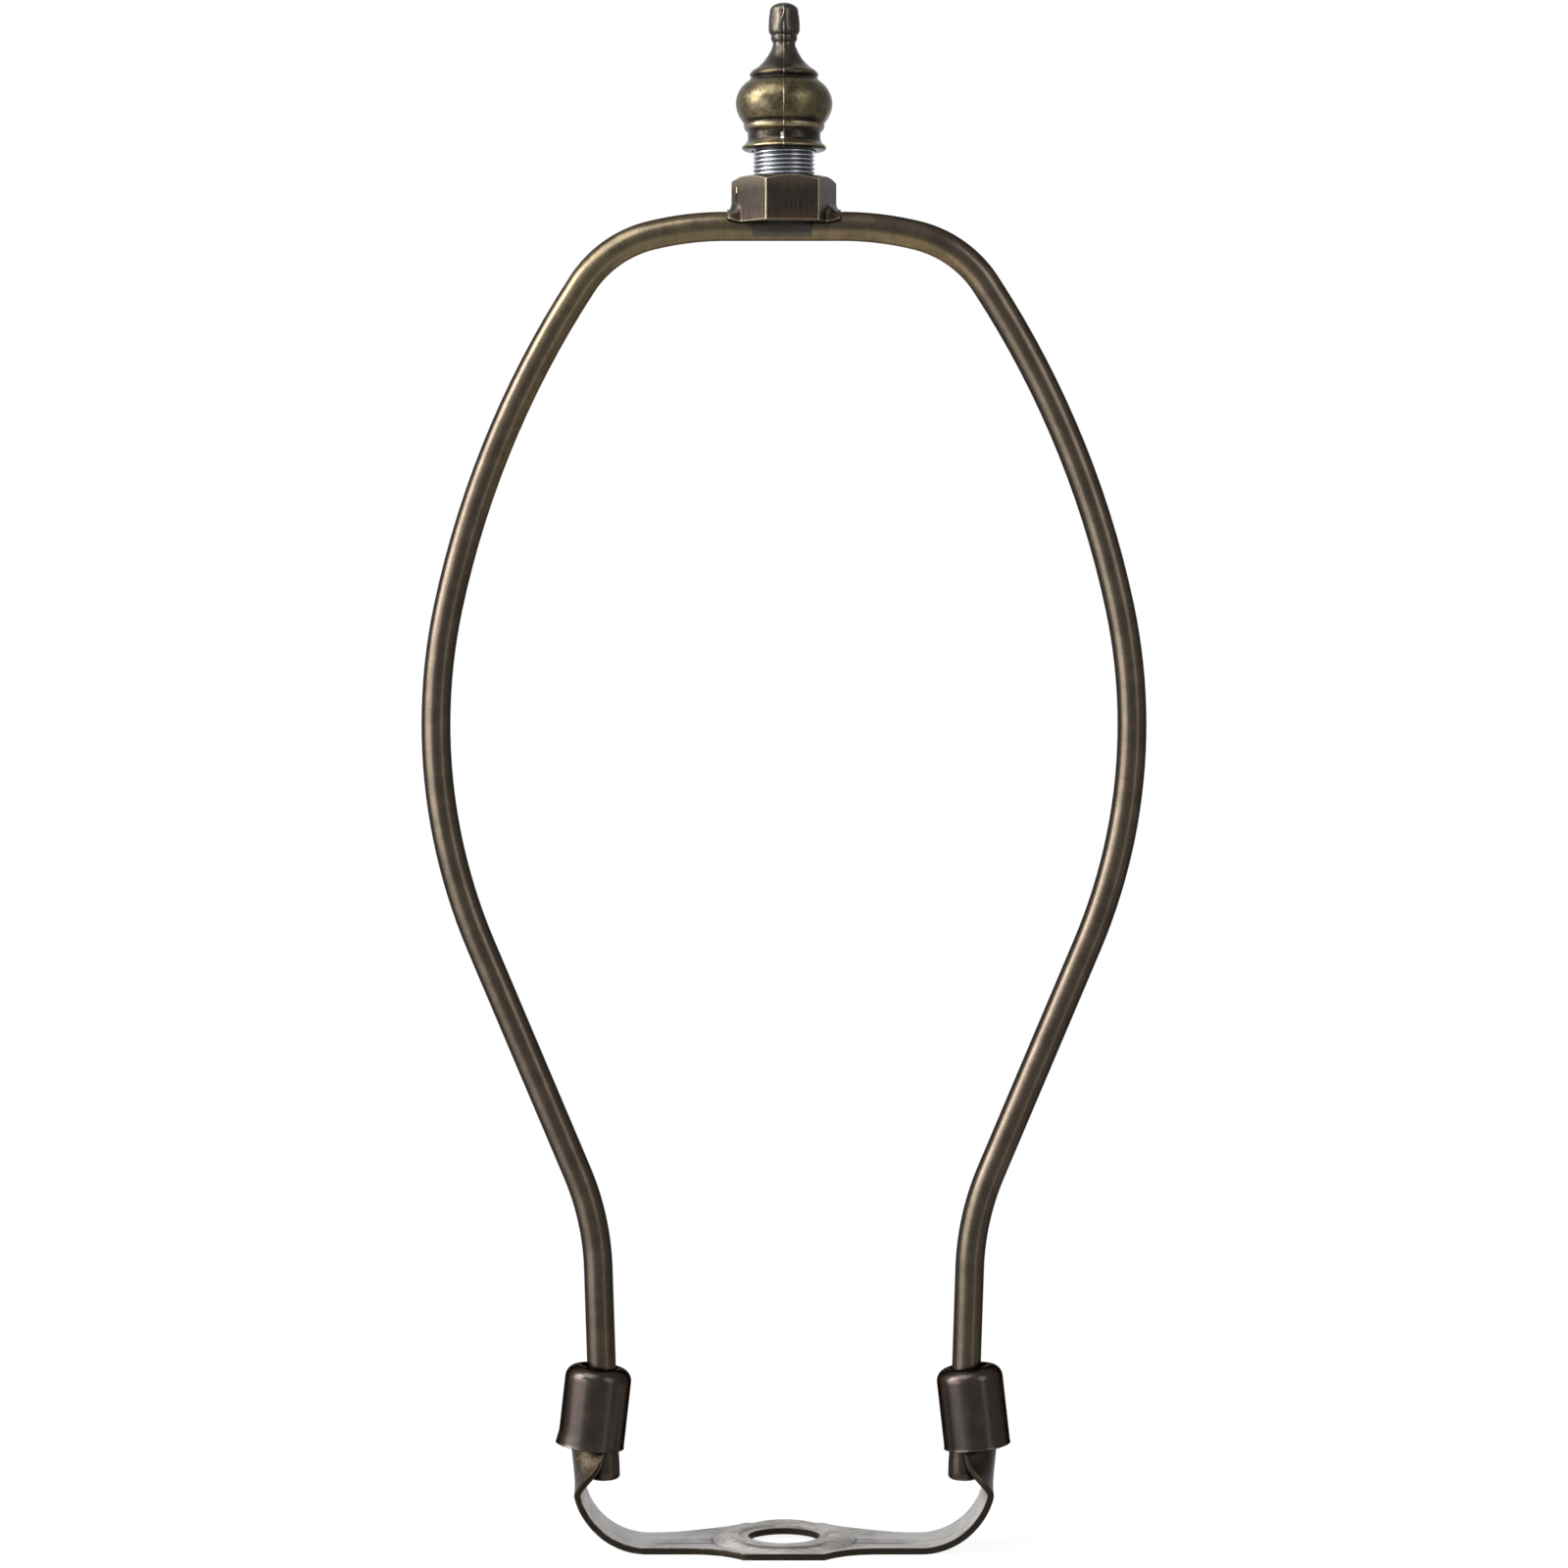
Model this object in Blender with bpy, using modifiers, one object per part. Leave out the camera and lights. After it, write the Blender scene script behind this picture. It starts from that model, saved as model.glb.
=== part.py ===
"""A lamp harp: a bent wire bow on a stamped saddle, with a hex seat, a threaded stud and a finial.

The origin is the centre of the saddle's hole, in the plane of the saddle's underside. +Z is up
and +X runs along the saddle. Sizes are in metres.
"""

import math

import bmesh
import bpy
from mathutils import Matrix, Vector

MM = 0.001

# The wire, bent in a chain of straights and arcs from each foot up to the crown
WIRE_DIAMETER = 4.3 * MM
FOOT_X = 26.65 * MM
FOOT_HEIGHT = 10.2 * MM
LEG_LEAN = math.radians(1.8)
LEG_LENGTH = 31.6 * MM
LOWER_BEND_RADIUS = 40.2 * MM
LOWER_BEND = math.radians(21.0)
SIDE_RUN = 36.7 * MM
SIDE_RADIUS = 84.0 * MM
SIDE_TURN = math.radians(34.9)
UPPER_RADIUS = 140.3 * MM
UPPER_TURN = math.radians(21.2)
SHOULDER_RADIUS = 16.9 * MM
SHOULDER_TURN = math.radians(43.0)
CROWN_RADIUS = 46.9 * MM
TURN_STEP = math.radians(4.0)
FOOT_CHAMFER = 0.45 * MM
FOOT_SWELL = 0.065 * MM
FOOT_SWELL_LENGTH = 2.6 * MM
PRESSED_FLAT_LENGTH = 8.5 * MM
PRESSED_FLAT_DEPTH = 0.25 * MM

# The saddle, stamped from one sheet
SHEET = 0.83 * MM
HOLE_DIAMETER = 10.5 * MM
PLATE_RIM = 4.35 * MM
PLATE_CORNER = 0.75 * MM
PLATE_FILLET = 9.5 * MM
ARM_HALF_WIDTH = 5.6 * MM
ARM_BEND_RADIUS = 11.0 * MM
ARM_BACK_LEAN = math.radians(6.0)
GUTTER_ROOM = 0.87 * MM
GUTTER_WRAP = math.radians(109.0)
GUTTER_BACKSET = 0.95 * MM
GUTTER_STRAIGHT = 3.6 * MM
CURL_BELOW_FOOT = 1.5 * MM
CURL_LENGTH = 6.9 * MM
WIDEN_START = 3.0 * MM
WIDEN_LENGTH = 9.0 * MM
RIB_HEIGHT = 0.35 * MM
RIB_HALF_WIDTH = 2.6 * MM
RIB_FADE = 5.0 * MM

# The raised boss round the hole: its ledge, its step, its crest and the foot it dies out at
LEDGE_HEIGHT = 0.7 * MM
LEDGE_WIDTH = 1.65 * MM
STEP_WIDTH = 0.35 * MM
CREST_HEIGHT = 1.1 * MM
CREST_WIDTH = 0.8 * MM
BOSS_MARGIN = 0.7 * MM
BOSS_POINT = 5.15 * MM

# The ferrules, drawn cups that slide on the wire's legs
FERRULE_LENGTH = 12.0 * MM
FERRULE_WALL = 0.4 * MM
FERRULE_SHOULDER = 1.9 * MM
FERRULE_LIP = 0.12 * MM
FERRULE_LIP_LENGTH = 0.7 * MM
FERRULE_SLACK = 0.7 * MM
FERRULE_FOOT_GAP = 0.38 * MM
FERRULE_TOP_OFFSET = 0.27 * MM
FERRULE_WIRE_CLEARANCE = 0.3 * MM
CURL_COVER = 0.35 * MM

# The hex seat on the crown
HEX_ACROSS_CORNERS = 15.8 * MM
HEX_HEIGHT = 6.6 * MM
HEX_TURN = math.radians(40.6)
HEX_OVER_WIRE_AXIS = 0.46 * MM
CHAMFER_INSET = 0.14 * MM
CHAMFER_SLOPE = math.radians(30.0)
SKIRT_REACH = 0.8 * MM
SKIRT_HEIGHT = 1.2 * MM
SKIRT_FLARE_HEIGHT = 1.7 * MM
SKIRT_HALF_WIDTH = 3.3 * MM
SKIRT_UNDERCUT = 2.9 * MM
BORE_FLOOR = 0.4 * MM

# The threaded stud
STUD_DIAMETER = 9.1 * MM
STUD_CHAMFER = 0.5 * MM
STUD_SHOWING = 4.0 * MM
STUD_ENGAGEMENT = 5.6 * MM

# The finial, a casting in sections one on the other: the radii, as steps out from its neck
FINIAL_WALL = 0.55 * MM
BASE_STEP = 0.3 * MM
RIM_STEP = 0.9 * MM
BEAD_FOOT_STEP = 0.25 * MM
BALL_STEP = 1.77 * MM
COLLAR_RADIUS = 5.05 * MM
COLLAR_GROOVE = 0.2 * MM
CONE_BASE_RADIUS = 4.3 * MM
CONE_TOP_RADIUS = 1.67 * MM
KNOB_FOOT_RADIUS = 1.88 * MM
KNOB_RADIUS = 2.3 * MM
KNOB_SHOULDER_RADIUS = 2.1 * MM
KNOB_DOME_RADIUS = 1.7 * MM

# The heights of the same sections, from the underside up
RIM_HEIGHT = 0.75 * MM
FLARE_HEIGHT = 0.95 * MM
NECK_HEIGHT = 0.9 * MM
BEAD_FOOT_HEIGHT = 0.3 * MM
BEAD_HEIGHT = 1.1 * MM
BALL_BELOW = 3.1 * MM
BALL_ABOVE = 3.2 * MM
GROOVE_HEIGHT = 0.45 * MM
COLLAR_HEIGHT = 0.9 * MM
COLLAR_STEP_HEIGHT = 0.3 * MM
CONE_HEIGHT = 3.55 * MM
CONE_NECK_HEIGHT = 0.35 * MM
SMALL_BEAD_HEIGHT = 1.05 * MM
KNOB_SWELL_HEIGHT = 0.95 * MM
KNOB_SHANK_HEIGHT = 2.45 * MM
KNOB_SHOULDER_HEIGHT = 0.9 * MM
KNOB_DOME_HEIGHT = 0.45 * MM
BALL_LOWER_HALF = 5.6 * MM
BALL_UPPER_HALF = 4.65 * MM
KNOB_LOBES = 4
KNOB_LOBE_DEPTH = 0.1
BORE_END_GAP = 0.8 * MM

# Fits and facets
SEAT_GAP = 0.3 * MM
THREAD_GAP = 0.25 * MM
ROUND_STEPS = 32
WIRE_SIDES_RESOLUTION = 6
CUT_MARGIN = 1.0 * MM

# The plate, the gutters and the ferrules follow from the hole, the wire and the sheet
WIRE_RADIUS = WIRE_DIAMETER / 2
HOLE_RADIUS = HOLE_DIAMETER / 2
PLATE_HALF_DEPTH = HOLE_RADIUS + PLATE_RIM
PLATE_CORNER_X = HOLE_RADIUS + PLATE_CORNER
PLATE_END_X = PLATE_CORNER_X + PLATE_FILLET
GUTTER_RADIUS = WIRE_RADIUS + GUTTER_ROOM + SHEET
FERRULE_INSIDE = GUTTER_RADIUS + FERRULE_SLACK
FERRULE_RADIUS = FERRULE_INSIDE + FERRULE_WALL
FERRULE_BORE = WIRE_RADIUS + FERRULE_TOP_OFFSET + FERRULE_WIRE_CLEARANCE

# The heights along a leg, and how far the ferrule's mouth stands outside the wire
CURL_START = FOOT_HEIGHT - CURL_BELOW_FOOT
CURL_END = CURL_START + CURL_LENGTH
MOUTH_HEIGHT = CURL_END - CURL_COVER
TIP_HEIGHT = CURL_END + GUTTER_STRAIGHT
MOUTH_OFFSET = FERRULE_INSIDE - WIRE_RADIUS - FERRULE_FOOT_GAP
FERRULE_TILT = math.atan((MOUTH_OFFSET - FERRULE_TOP_OFFSET) / FERRULE_LENGTH)

# The saddle's arm, laid out flat: a level run, the bend up and the back of the gutter
ARM_TURN = math.pi / 2 - ARM_BACK_LEAN
BEND_TOP = ARM_BEND_RADIUS * (1.0 - math.cos(ARM_TURN))
BEND_LENGTH = ARM_BEND_RADIUS * ARM_TURN
WIRE_AT_MOUTH = FOOT_X + (MOUTH_HEIGHT - FOOT_HEIGHT) * math.tan(LEG_LEAN)
BACK_AT_MOUTH = WIRE_AT_MOUTH + MOUTH_OFFSET - GUTTER_BACKSET + GUTTER_RADIUS
BACK_AT_BEND = BACK_AT_MOUTH - (MOUTH_HEIGHT - BEND_TOP) * math.tan(ARM_BACK_LEAN)
ARM_FLAT_END = BACK_AT_BEND - ARM_BEND_RADIUS * math.sin(ARM_TURN)
ARM_LENGTH = ARM_FLAT_END + BEND_LENGTH + (TIP_HEIGHT - BEND_TOP) / math.cos(ARM_BACK_LEAN)
GUTTER_HALF_WIDTH = GUTTER_RADIUS * GUTTER_WRAP
ACROSS = 12
ALONG_ARM = 26
ALONG_EDGE = 18
ROUND_HOLE = 2 * (ACROSS + ALONG_EDGE)

# The hex seat and the finial follow from the stud
HEX_RADIUS = HEX_ACROSS_CORNERS / 2
CHAMFER_TOP_RADIUS = HEX_RADIUS * math.cos(math.pi / 6) - CHAMFER_INSET
SKIRT_RADIUS = HEX_RADIUS + SKIRT_REACH
STUD_RADIUS = STUD_DIAMETER / 2
BORE_RADIUS = STUD_RADIUS + THREAD_GAP
NECK_RADIUS = BORE_RADIUS + FINIAL_WALL
BALL_RADIUS = NECK_RADIUS + BALL_STEP


def smooth(low, high, value):
    """A smooth step from 0 at low to 1 at high."""
    share = min(max((value - low) / (high - low), 0.0), 1.0)
    return share * share * (3.0 - 2.0 * share)


def clear_scene():
    for obj in list(bpy.data.objects):
        bpy.data.objects.remove(obj, do_unlink=True)


def new_collection(name):
    collection = bpy.data.collections.new(name)
    bpy.context.scene.collection.children.link(collection)
    return collection


def new_material(name, colour, roughness, metallic):
    material = bpy.data.materials.new(name)
    material.use_nodes = True
    shader = material.node_tree.nodes["Principled BSDF"]
    shader.inputs["Base Color"].default_value = (*colour, 1.0)
    shader.inputs["Roughness"].default_value = roughness
    shader.inputs["Metallic"].default_value = metallic
    return material


def new_object(name, bm, collection, material=None):
    """Turns a bmesh into an object, shaded smooth but for its sharp edges."""
    mesh = bpy.data.meshes.new(name)
    bm.to_mesh(mesh)
    bm.free()
    mesh.shade_smooth()
    mesh.set_sharp_from_angle(angle=math.radians(35.0))
    obj = bpy.data.objects.new(name, mesh)
    collection.objects.link(obj)
    if material is not None:
        mesh.materials.append(material)
    return obj


def new_cutter(name, bm):
    obj = new_object(name, bm, CUTTERS)
    obj.hide_render = True
    obj.display_type = "WIRE"
    return obj


def shape_with(target, cutter, operation="DIFFERENCE"):
    modifier = target.modifiers.new(cutter.name, "BOOLEAN")
    modifier.operation = operation
    modifier.solver = "EXACT"
    modifier.object = cutter


def cylinder(radius, bottom, top, segments=ROUND_STEPS, top_radius=None):
    """A bmesh cylinder or cone along Z between two heights."""
    bm = bmesh.new()
    bmesh.ops.create_cone(
        bm, cap_ends=True, segments=segments, radius1=radius,
        radius2=radius if top_radius is None else top_radius, depth=top - bottom,
        matrix=Matrix.Translation((0.0, 0.0, (top + bottom) / 2)),
    )
    return bm


def box(half_x, half_y, bottom, top):
    bm = bmesh.new()
    size = Matrix.Diagonal((2 * half_x, 2 * half_y, top - bottom, 1.0))
    bmesh.ops.create_cube(bm, size=1.0, matrix=Matrix.Translation((0.0, 0.0, (top + bottom) / 2)) @ size)
    return bm


def bulged(start, end, bulge, steps=5):
    """The points after start along an arc to end that stands out by bulge of half the chord."""
    chord = Vector(end) - Vector(start)
    side = Vector((chord.y, -chord.x)) * 0.5
    middle = (Vector(start) + Vector(end)) / 2
    sweep = 4.0 * math.atan(abs(bulge))
    radius = chord.length / (2.0 * math.sin(sweep / 2.0))
    centre = middle - side.normalized() * math.copysign(radius * math.cos(sweep / 2.0), bulge)
    first = Vector(start) - centre
    turn = sweep / steps * math.copysign(1.0, bulge)
    points = []
    for step in range(1, steps):
        spin = Matrix.Rotation(turn * step, 2)
        points.append(tuple(centre + spin @ first))
    points.append(tuple(end))
    return points


def turned(name, profile, collection, material=None):
    """A body turned about Z from a closed profile of (radius, height) points, outer side downwards."""
    bm = bmesh.new()
    verts = [bm.verts.new((radius, 0.0, height)) for radius, height in profile]
    for first, second in zip(verts, verts[1:]):
        bm.edges.new((first, second))
    if profile[0][0] > 0.0:
        bm.edges.new((verts[-1], verts[0]))
    obj = new_object(name, bm, collection, material)
    screw = obj.modifiers.new("turn", "SCREW")
    screw.steps = ROUND_STEPS
    screw.render_steps = ROUND_STEPS
    screw.use_merge_vertices = True
    screw.merge_threshold = 0.001 * MM
    screw.use_smooth_shade = True
    return obj


# The wire's path

def wire_half_path():
    """Centreline points (x, z) from the right foot to where the crown runs level."""
    x, z = FOOT_X, FOOT_HEIGHT
    heading = LEG_LEAN
    points = [(x, z)]

    def straight(length):
        nonlocal x, z
        x += length * math.sin(heading)
        z += length * math.cos(heading)
        points.append((x, z))

    def arc(radius, turn):
        nonlocal x, z, heading
        steps = max(2, math.ceil(abs(turn) / TURN_STEP))
        step_turn = turn / steps
        chord = 2.0 * radius * math.sin(abs(step_turn) / 2.0)
        for _ in range(steps):
            middle = heading + step_turn / 2.0
            x += chord * math.sin(middle)
            z += chord * math.cos(middle)
            heading += step_turn
            points.append((x, z))

    straight(LEG_LENGTH)
    arc(LOWER_BEND_RADIUS, LOWER_BEND)
    straight(SIDE_RUN)
    arc(SIDE_RADIUS, -SIDE_TURN)
    arc(UPPER_RADIUS, -UPPER_TURN)
    arc(SHOULDER_RADIUS, -SHOULDER_TURN)
    arc(CROWN_RADIUS, -(math.pi / 2 + heading))
    return points


def foot_sections():
    """(distance up the leg, radius factor) of the foot's chamfer and its slight swelling."""
    end_factor = 1.0 - FOOT_CHAMFER / WIRE_RADIUS
    swell_factor = 1.0 + FOOT_SWELL / WIRE_RADIUS
    return [
        (0.0, end_factor),
        (FOOT_CHAMFER, swell_factor),
        (FOOT_SWELL_LENGTH, swell_factor),
        (FOOT_SWELL_LENGTH * 1.6, 1.0),
    ]


def make_wire():
    half = wire_half_path()
    up_leg = Vector((math.sin(LEG_LEAN), math.cos(LEG_LEAN)))
    foot = [(*(Vector(half[0]) + up_leg * along), factor) for along, factor in foot_sections()]
    right = foot + [(x, z, 1.0) for x, z in half[1:]]
    path = right + [(-x, z, factor) for x, z, factor in reversed(right)]
    curve = bpy.data.curves.new("harp_wire_path", "CURVE")
    curve.dimensions = "3D"
    curve.bevel_depth = WIRE_RADIUS
    curve.bevel_resolution = WIRE_SIDES_RESOLUTION
    curve.use_fill_caps = True
    spline = curve.splines.new("POLY")
    spline.points.add(len(path) - 1)
    for point, (x, z, factor) in zip(spline.points, path):
        point.co = (x, 0.0, z, 1.0)
        point.radius = factor
    guide = bpy.data.objects.new("harp_wire_path", curve)
    CUTTERS.objects.link(guide)
    bpy.context.view_layer.update()
    graph = bpy.context.evaluated_depsgraph_get()
    mesh = bpy.data.meshes.new_from_object(guide.evaluated_get(graph))
    bm = bmesh.new()
    bm.from_mesh(mesh)
    bmesh.ops.remove_doubles(bm, verts=bm.verts, dist=0.001 * MM)
    bmesh.ops.recalc_face_normals(bm, faces=bm.faces)
    wire = new_object("harp_wire", bm, PARTS, BRONZE)
    wire.matrix_world = guide.matrix_world
    bpy.data.objects.remove(guide)
    crown = half[-1][1]
    flat = box(PRESSED_FLAT_LENGTH / 2, CUT_MARGIN / 2, crown - WIRE_DIAMETER, crown + WIRE_DIAMETER)
    front = PRESSED_FLAT_DEPTH - WIRE_RADIUS - CUT_MARGIN / 2
    bmesh.ops.translate(flat, verts=flat.verts, vec=(0.0, front, 0.0))
    shape_with(wire, new_cutter("pressed_flat", flat))
    return crown


# The saddle's sheet, as one surface that is then given its thickness

def on_sheet(along, across, raised, side):
    """A point of the underside, from its place on the flat blank and how far it is raised."""
    turn = min(max(along - ARM_FLAT_END, 0.0) / ARM_BEND_RADIUS, ARM_TURN)
    beyond = max(along - ARM_FLAT_END - BEND_LENGTH, 0.0)
    x = min(along, ARM_FLAT_END) + ARM_BEND_RADIUS * math.sin(turn) + beyond * math.cos(turn)
    z = ARM_BEND_RADIUS * (1.0 - math.cos(turn)) + beyond * math.sin(turn)
    return Vector((side * (x - raised * math.sin(turn)), across, z + raised * math.cos(turn)))


def rib(across, along):
    """The stamped rib's height on an arm, dying out along the bend."""
    if abs(across) >= RIB_HALF_WIDTH:
        return 0.0
    fade = 1.0 - smooth(PLATE_END_X, ARM_FLAT_END + RIB_FADE, along)
    return RIB_HEIGHT * fade * math.cos(math.pi / 2 * across / RIB_HALF_WIDTH) ** 2


def arm_point(along_share, across_share, side):
    """A point of one arm's underside, bent up and curled into the gutter round the wire's foot."""
    along = PLATE_END_X + (ARM_LENGTH - PLATE_END_X) * along_share
    height = on_sheet(along, 0.0, 0.0, side).z
    widened = smooth(WIDEN_START, WIDEN_START + WIDEN_LENGTH, height)
    across = across_share * (ARM_HALF_WIDTH + (GUTTER_HALF_WIDTH - ARM_HALF_WIDTH) * widened)
    curl = smooth(CURL_START, CURL_END, height) / GUTTER_RADIUS
    if curl == 0.0:
        return on_sheet(along, across, rib(across, along), side)
    y = math.sin(across * curl) / curl
    inward = (1.0 - math.cos(across * curl)) / curl
    return on_sheet(along, y, inward + rib(across, along), side)


def plate_edge(x):
    """The plate's half-depth at x: a straight front edge, then a hollow fillet down to the arm."""
    beyond = max(abs(x) - PLATE_CORNER_X, 0.0) / (PLATE_END_X - PLATE_CORNER_X)
    return ARM_HALF_WIDTH + (PLATE_HALF_DEPTH - ARM_HALF_WIDTH) * (1.0 - beyond) ** 3


def plate_outline():
    """The plate's outline, counter-clockwise from the right arm's front corner."""
    outline = []
    for side in (1, -1):
        for step in range(ACROSS):
            across = ARM_HALF_WIDTH * (2.0 * step / ACROSS - 1.0)
            outline.append((side * PLATE_END_X, side * across))
        corner_steps = ALONG_EDGE // 3
        for step in range(ALONG_EDGE):
            if step < corner_steps:
                share = 1.0 - (1.0 - step / corner_steps) ** 1.5
                x = PLATE_END_X - share * (PLATE_END_X - PLATE_CORNER_X)
            elif step <= 2 * corner_steps:
                x = PLATE_CORNER_X * (1.0 - 2.0 * (step - corner_steps) / corner_steps)
            else:
                share = ((step - 2 * corner_steps) / corner_steps) ** 1.5
                x = -PLATE_CORNER_X - share * (PLATE_END_X - PLATE_CORNER_X)
            outline.append((side * x, side * plate_edge(x)))
    return outline


def plate_rings():
    """Rings of (x, y, z) points from the hole's edge over the boss to the plate's outline."""
    ledge = HOLE_RADIUS + LEDGE_WIDTH
    step = ledge + STEP_WIDTH
    crest = step + CREST_WIDTH
    foot = PLATE_HALF_DEPTH - BOSS_MARGIN
    first_angle = -math.pi * ACROSS / ROUND_HOLE
    angles = [first_angle + 2.0 * math.pi * index / ROUND_HOLE for index in range(ROUND_HOLE)]
    rings = []
    for radius, height in (
        (HOLE_RADIUS, LEDGE_HEIGHT),
        (ledge, LEDGE_HEIGHT),
        (step, (LEDGE_HEIGHT + CREST_HEIGHT) / 2),
        (crest, CREST_HEIGHT),
    ):
        rings.append([(radius * math.cos(a), radius * math.sin(a), height) for a in angles])
    pointed = []
    for angle in angles:
        radius = foot + (HOLE_RADIUS + BOSS_POINT - foot) * abs(math.cos(angle)) ** 4
        y = radius * math.sin(angle)
        pointed.append((radius * math.cos(angle), y, rib(y, 0.0)))
    rings.append(pointed)
    rings.append([(x, y, rib(y, 0.0) if abs(x) == PLATE_END_X else 0.0) for x, y in plate_outline()])
    return rings


def mapped_grid(columns, rows, place):
    """A sheet of columns by rows whose corners are put where place(column share, row share) says."""
    bm = bmesh.new()
    bmesh.ops.create_grid(bm, x_segments=columns, y_segments=rows, size=0.5)
    for vert in bm.verts:
        vert.co = place(vert.co.x + 0.5, vert.co.y + 0.5)
    mesh = bpy.data.meshes.new("sheet_piece")
    bm.to_mesh(mesh)
    bm.free()
    return mesh


def make_saddle():
    rings = plate_rings()

    def plate_place(across_share, round_share):
        ring = rings[round(across_share * (len(rings) - 1))]
        x, y, height = ring[round(round_share * ROUND_HOLE) % ROUND_HOLE]
        return on_sheet(abs(x), y, height, math.copysign(1.0, x))

    pieces = [mapped_grid(len(rings) - 1, ROUND_HOLE, plate_place)]
    for side in (1, -1):
        pieces.append(mapped_grid(
            ALONG_ARM, ACROSS,
            lambda along, across, side=side: arm_point(along, side * (2.0 * across - 1.0), side),
        ))
    bm = bmesh.new()
    for mesh in pieces:
        bm.from_mesh(mesh)
        bpy.data.meshes.remove(mesh)
    bmesh.ops.remove_doubles(bm, verts=bm.verts, dist=0.005 * MM)
    bmesh.ops.recalc_face_normals(bm, faces=bm.faces)
    bm.faces.ensure_lookup_table()
    lowest = min(bm.faces, key=lambda face: face.calc_center_median().z)
    if lowest.normal.z > 0.0:
        bmesh.ops.reverse_faces(bm, faces=bm.faces)
    saddle = new_object("saddle", bm, PARTS, SADDLE_BRONZE)
    wall = saddle.modifiers.new("sheet", "SOLIDIFY")
    wall.thickness = SHEET
    wall.offset = -1.0
    wall.use_even_offset = True
    return saddle


# The ferrules on the legs

def ferrule_profile():
    """(radius, height above the mouth), outer side downwards, then the inside upwards."""
    top = FERRULE_LENGTH
    rounding = min(FERRULE_SHOULDER, FERRULE_RADIUS - FERRULE_BORE)
    shoulder = top - rounding
    quarter = math.tan(math.pi / 8)
    points = [(FERRULE_BORE, top), (FERRULE_RADIUS - rounding, top)]
    points += bulged(points[-1], (FERRULE_RADIUS, shoulder), -quarter, 6)
    points.append((FERRULE_RADIUS, FERRULE_LIP_LENGTH))
    points += [(FERRULE_RADIUS + FERRULE_LIP, 0.0), (FERRULE_INSIDE, 0.0), (FERRULE_INSIDE, shoulder)]
    points += bulged(points[-1], (FERRULE_RADIUS - rounding, top - FERRULE_WALL), quarter, 5)
    points.append((FERRULE_BORE, top - FERRULE_WALL))
    return points


def make_ferrule(name, side):
    """A ferrule, tilted in the frame of an empty that stands on the wire's leg and slides along it."""
    slide = bpy.data.objects.new(name + "_slide", None)
    slide.empty_display_size = FERRULE_RADIUS
    slide.location = (side * WIRE_AT_MOUTH, 0.0, MOUTH_HEIGHT)
    slide.rotation_euler = (0.0, side * LEG_LEAN, 0.0)
    PARTS.objects.link(slide)
    ferrule = turned(name, ferrule_profile(), PARTS, FERRULE_BRONZE)
    ferrule.parent = slide
    ferrule.location = (side * MOUTH_OFFSET, 0.0, 0.0)
    ferrule.rotation_euler = (0.0, -side * FERRULE_TILT, 0.0)
    return ferrule


# The hex seat, the stud and the finial, one above the other on the crown

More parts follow.
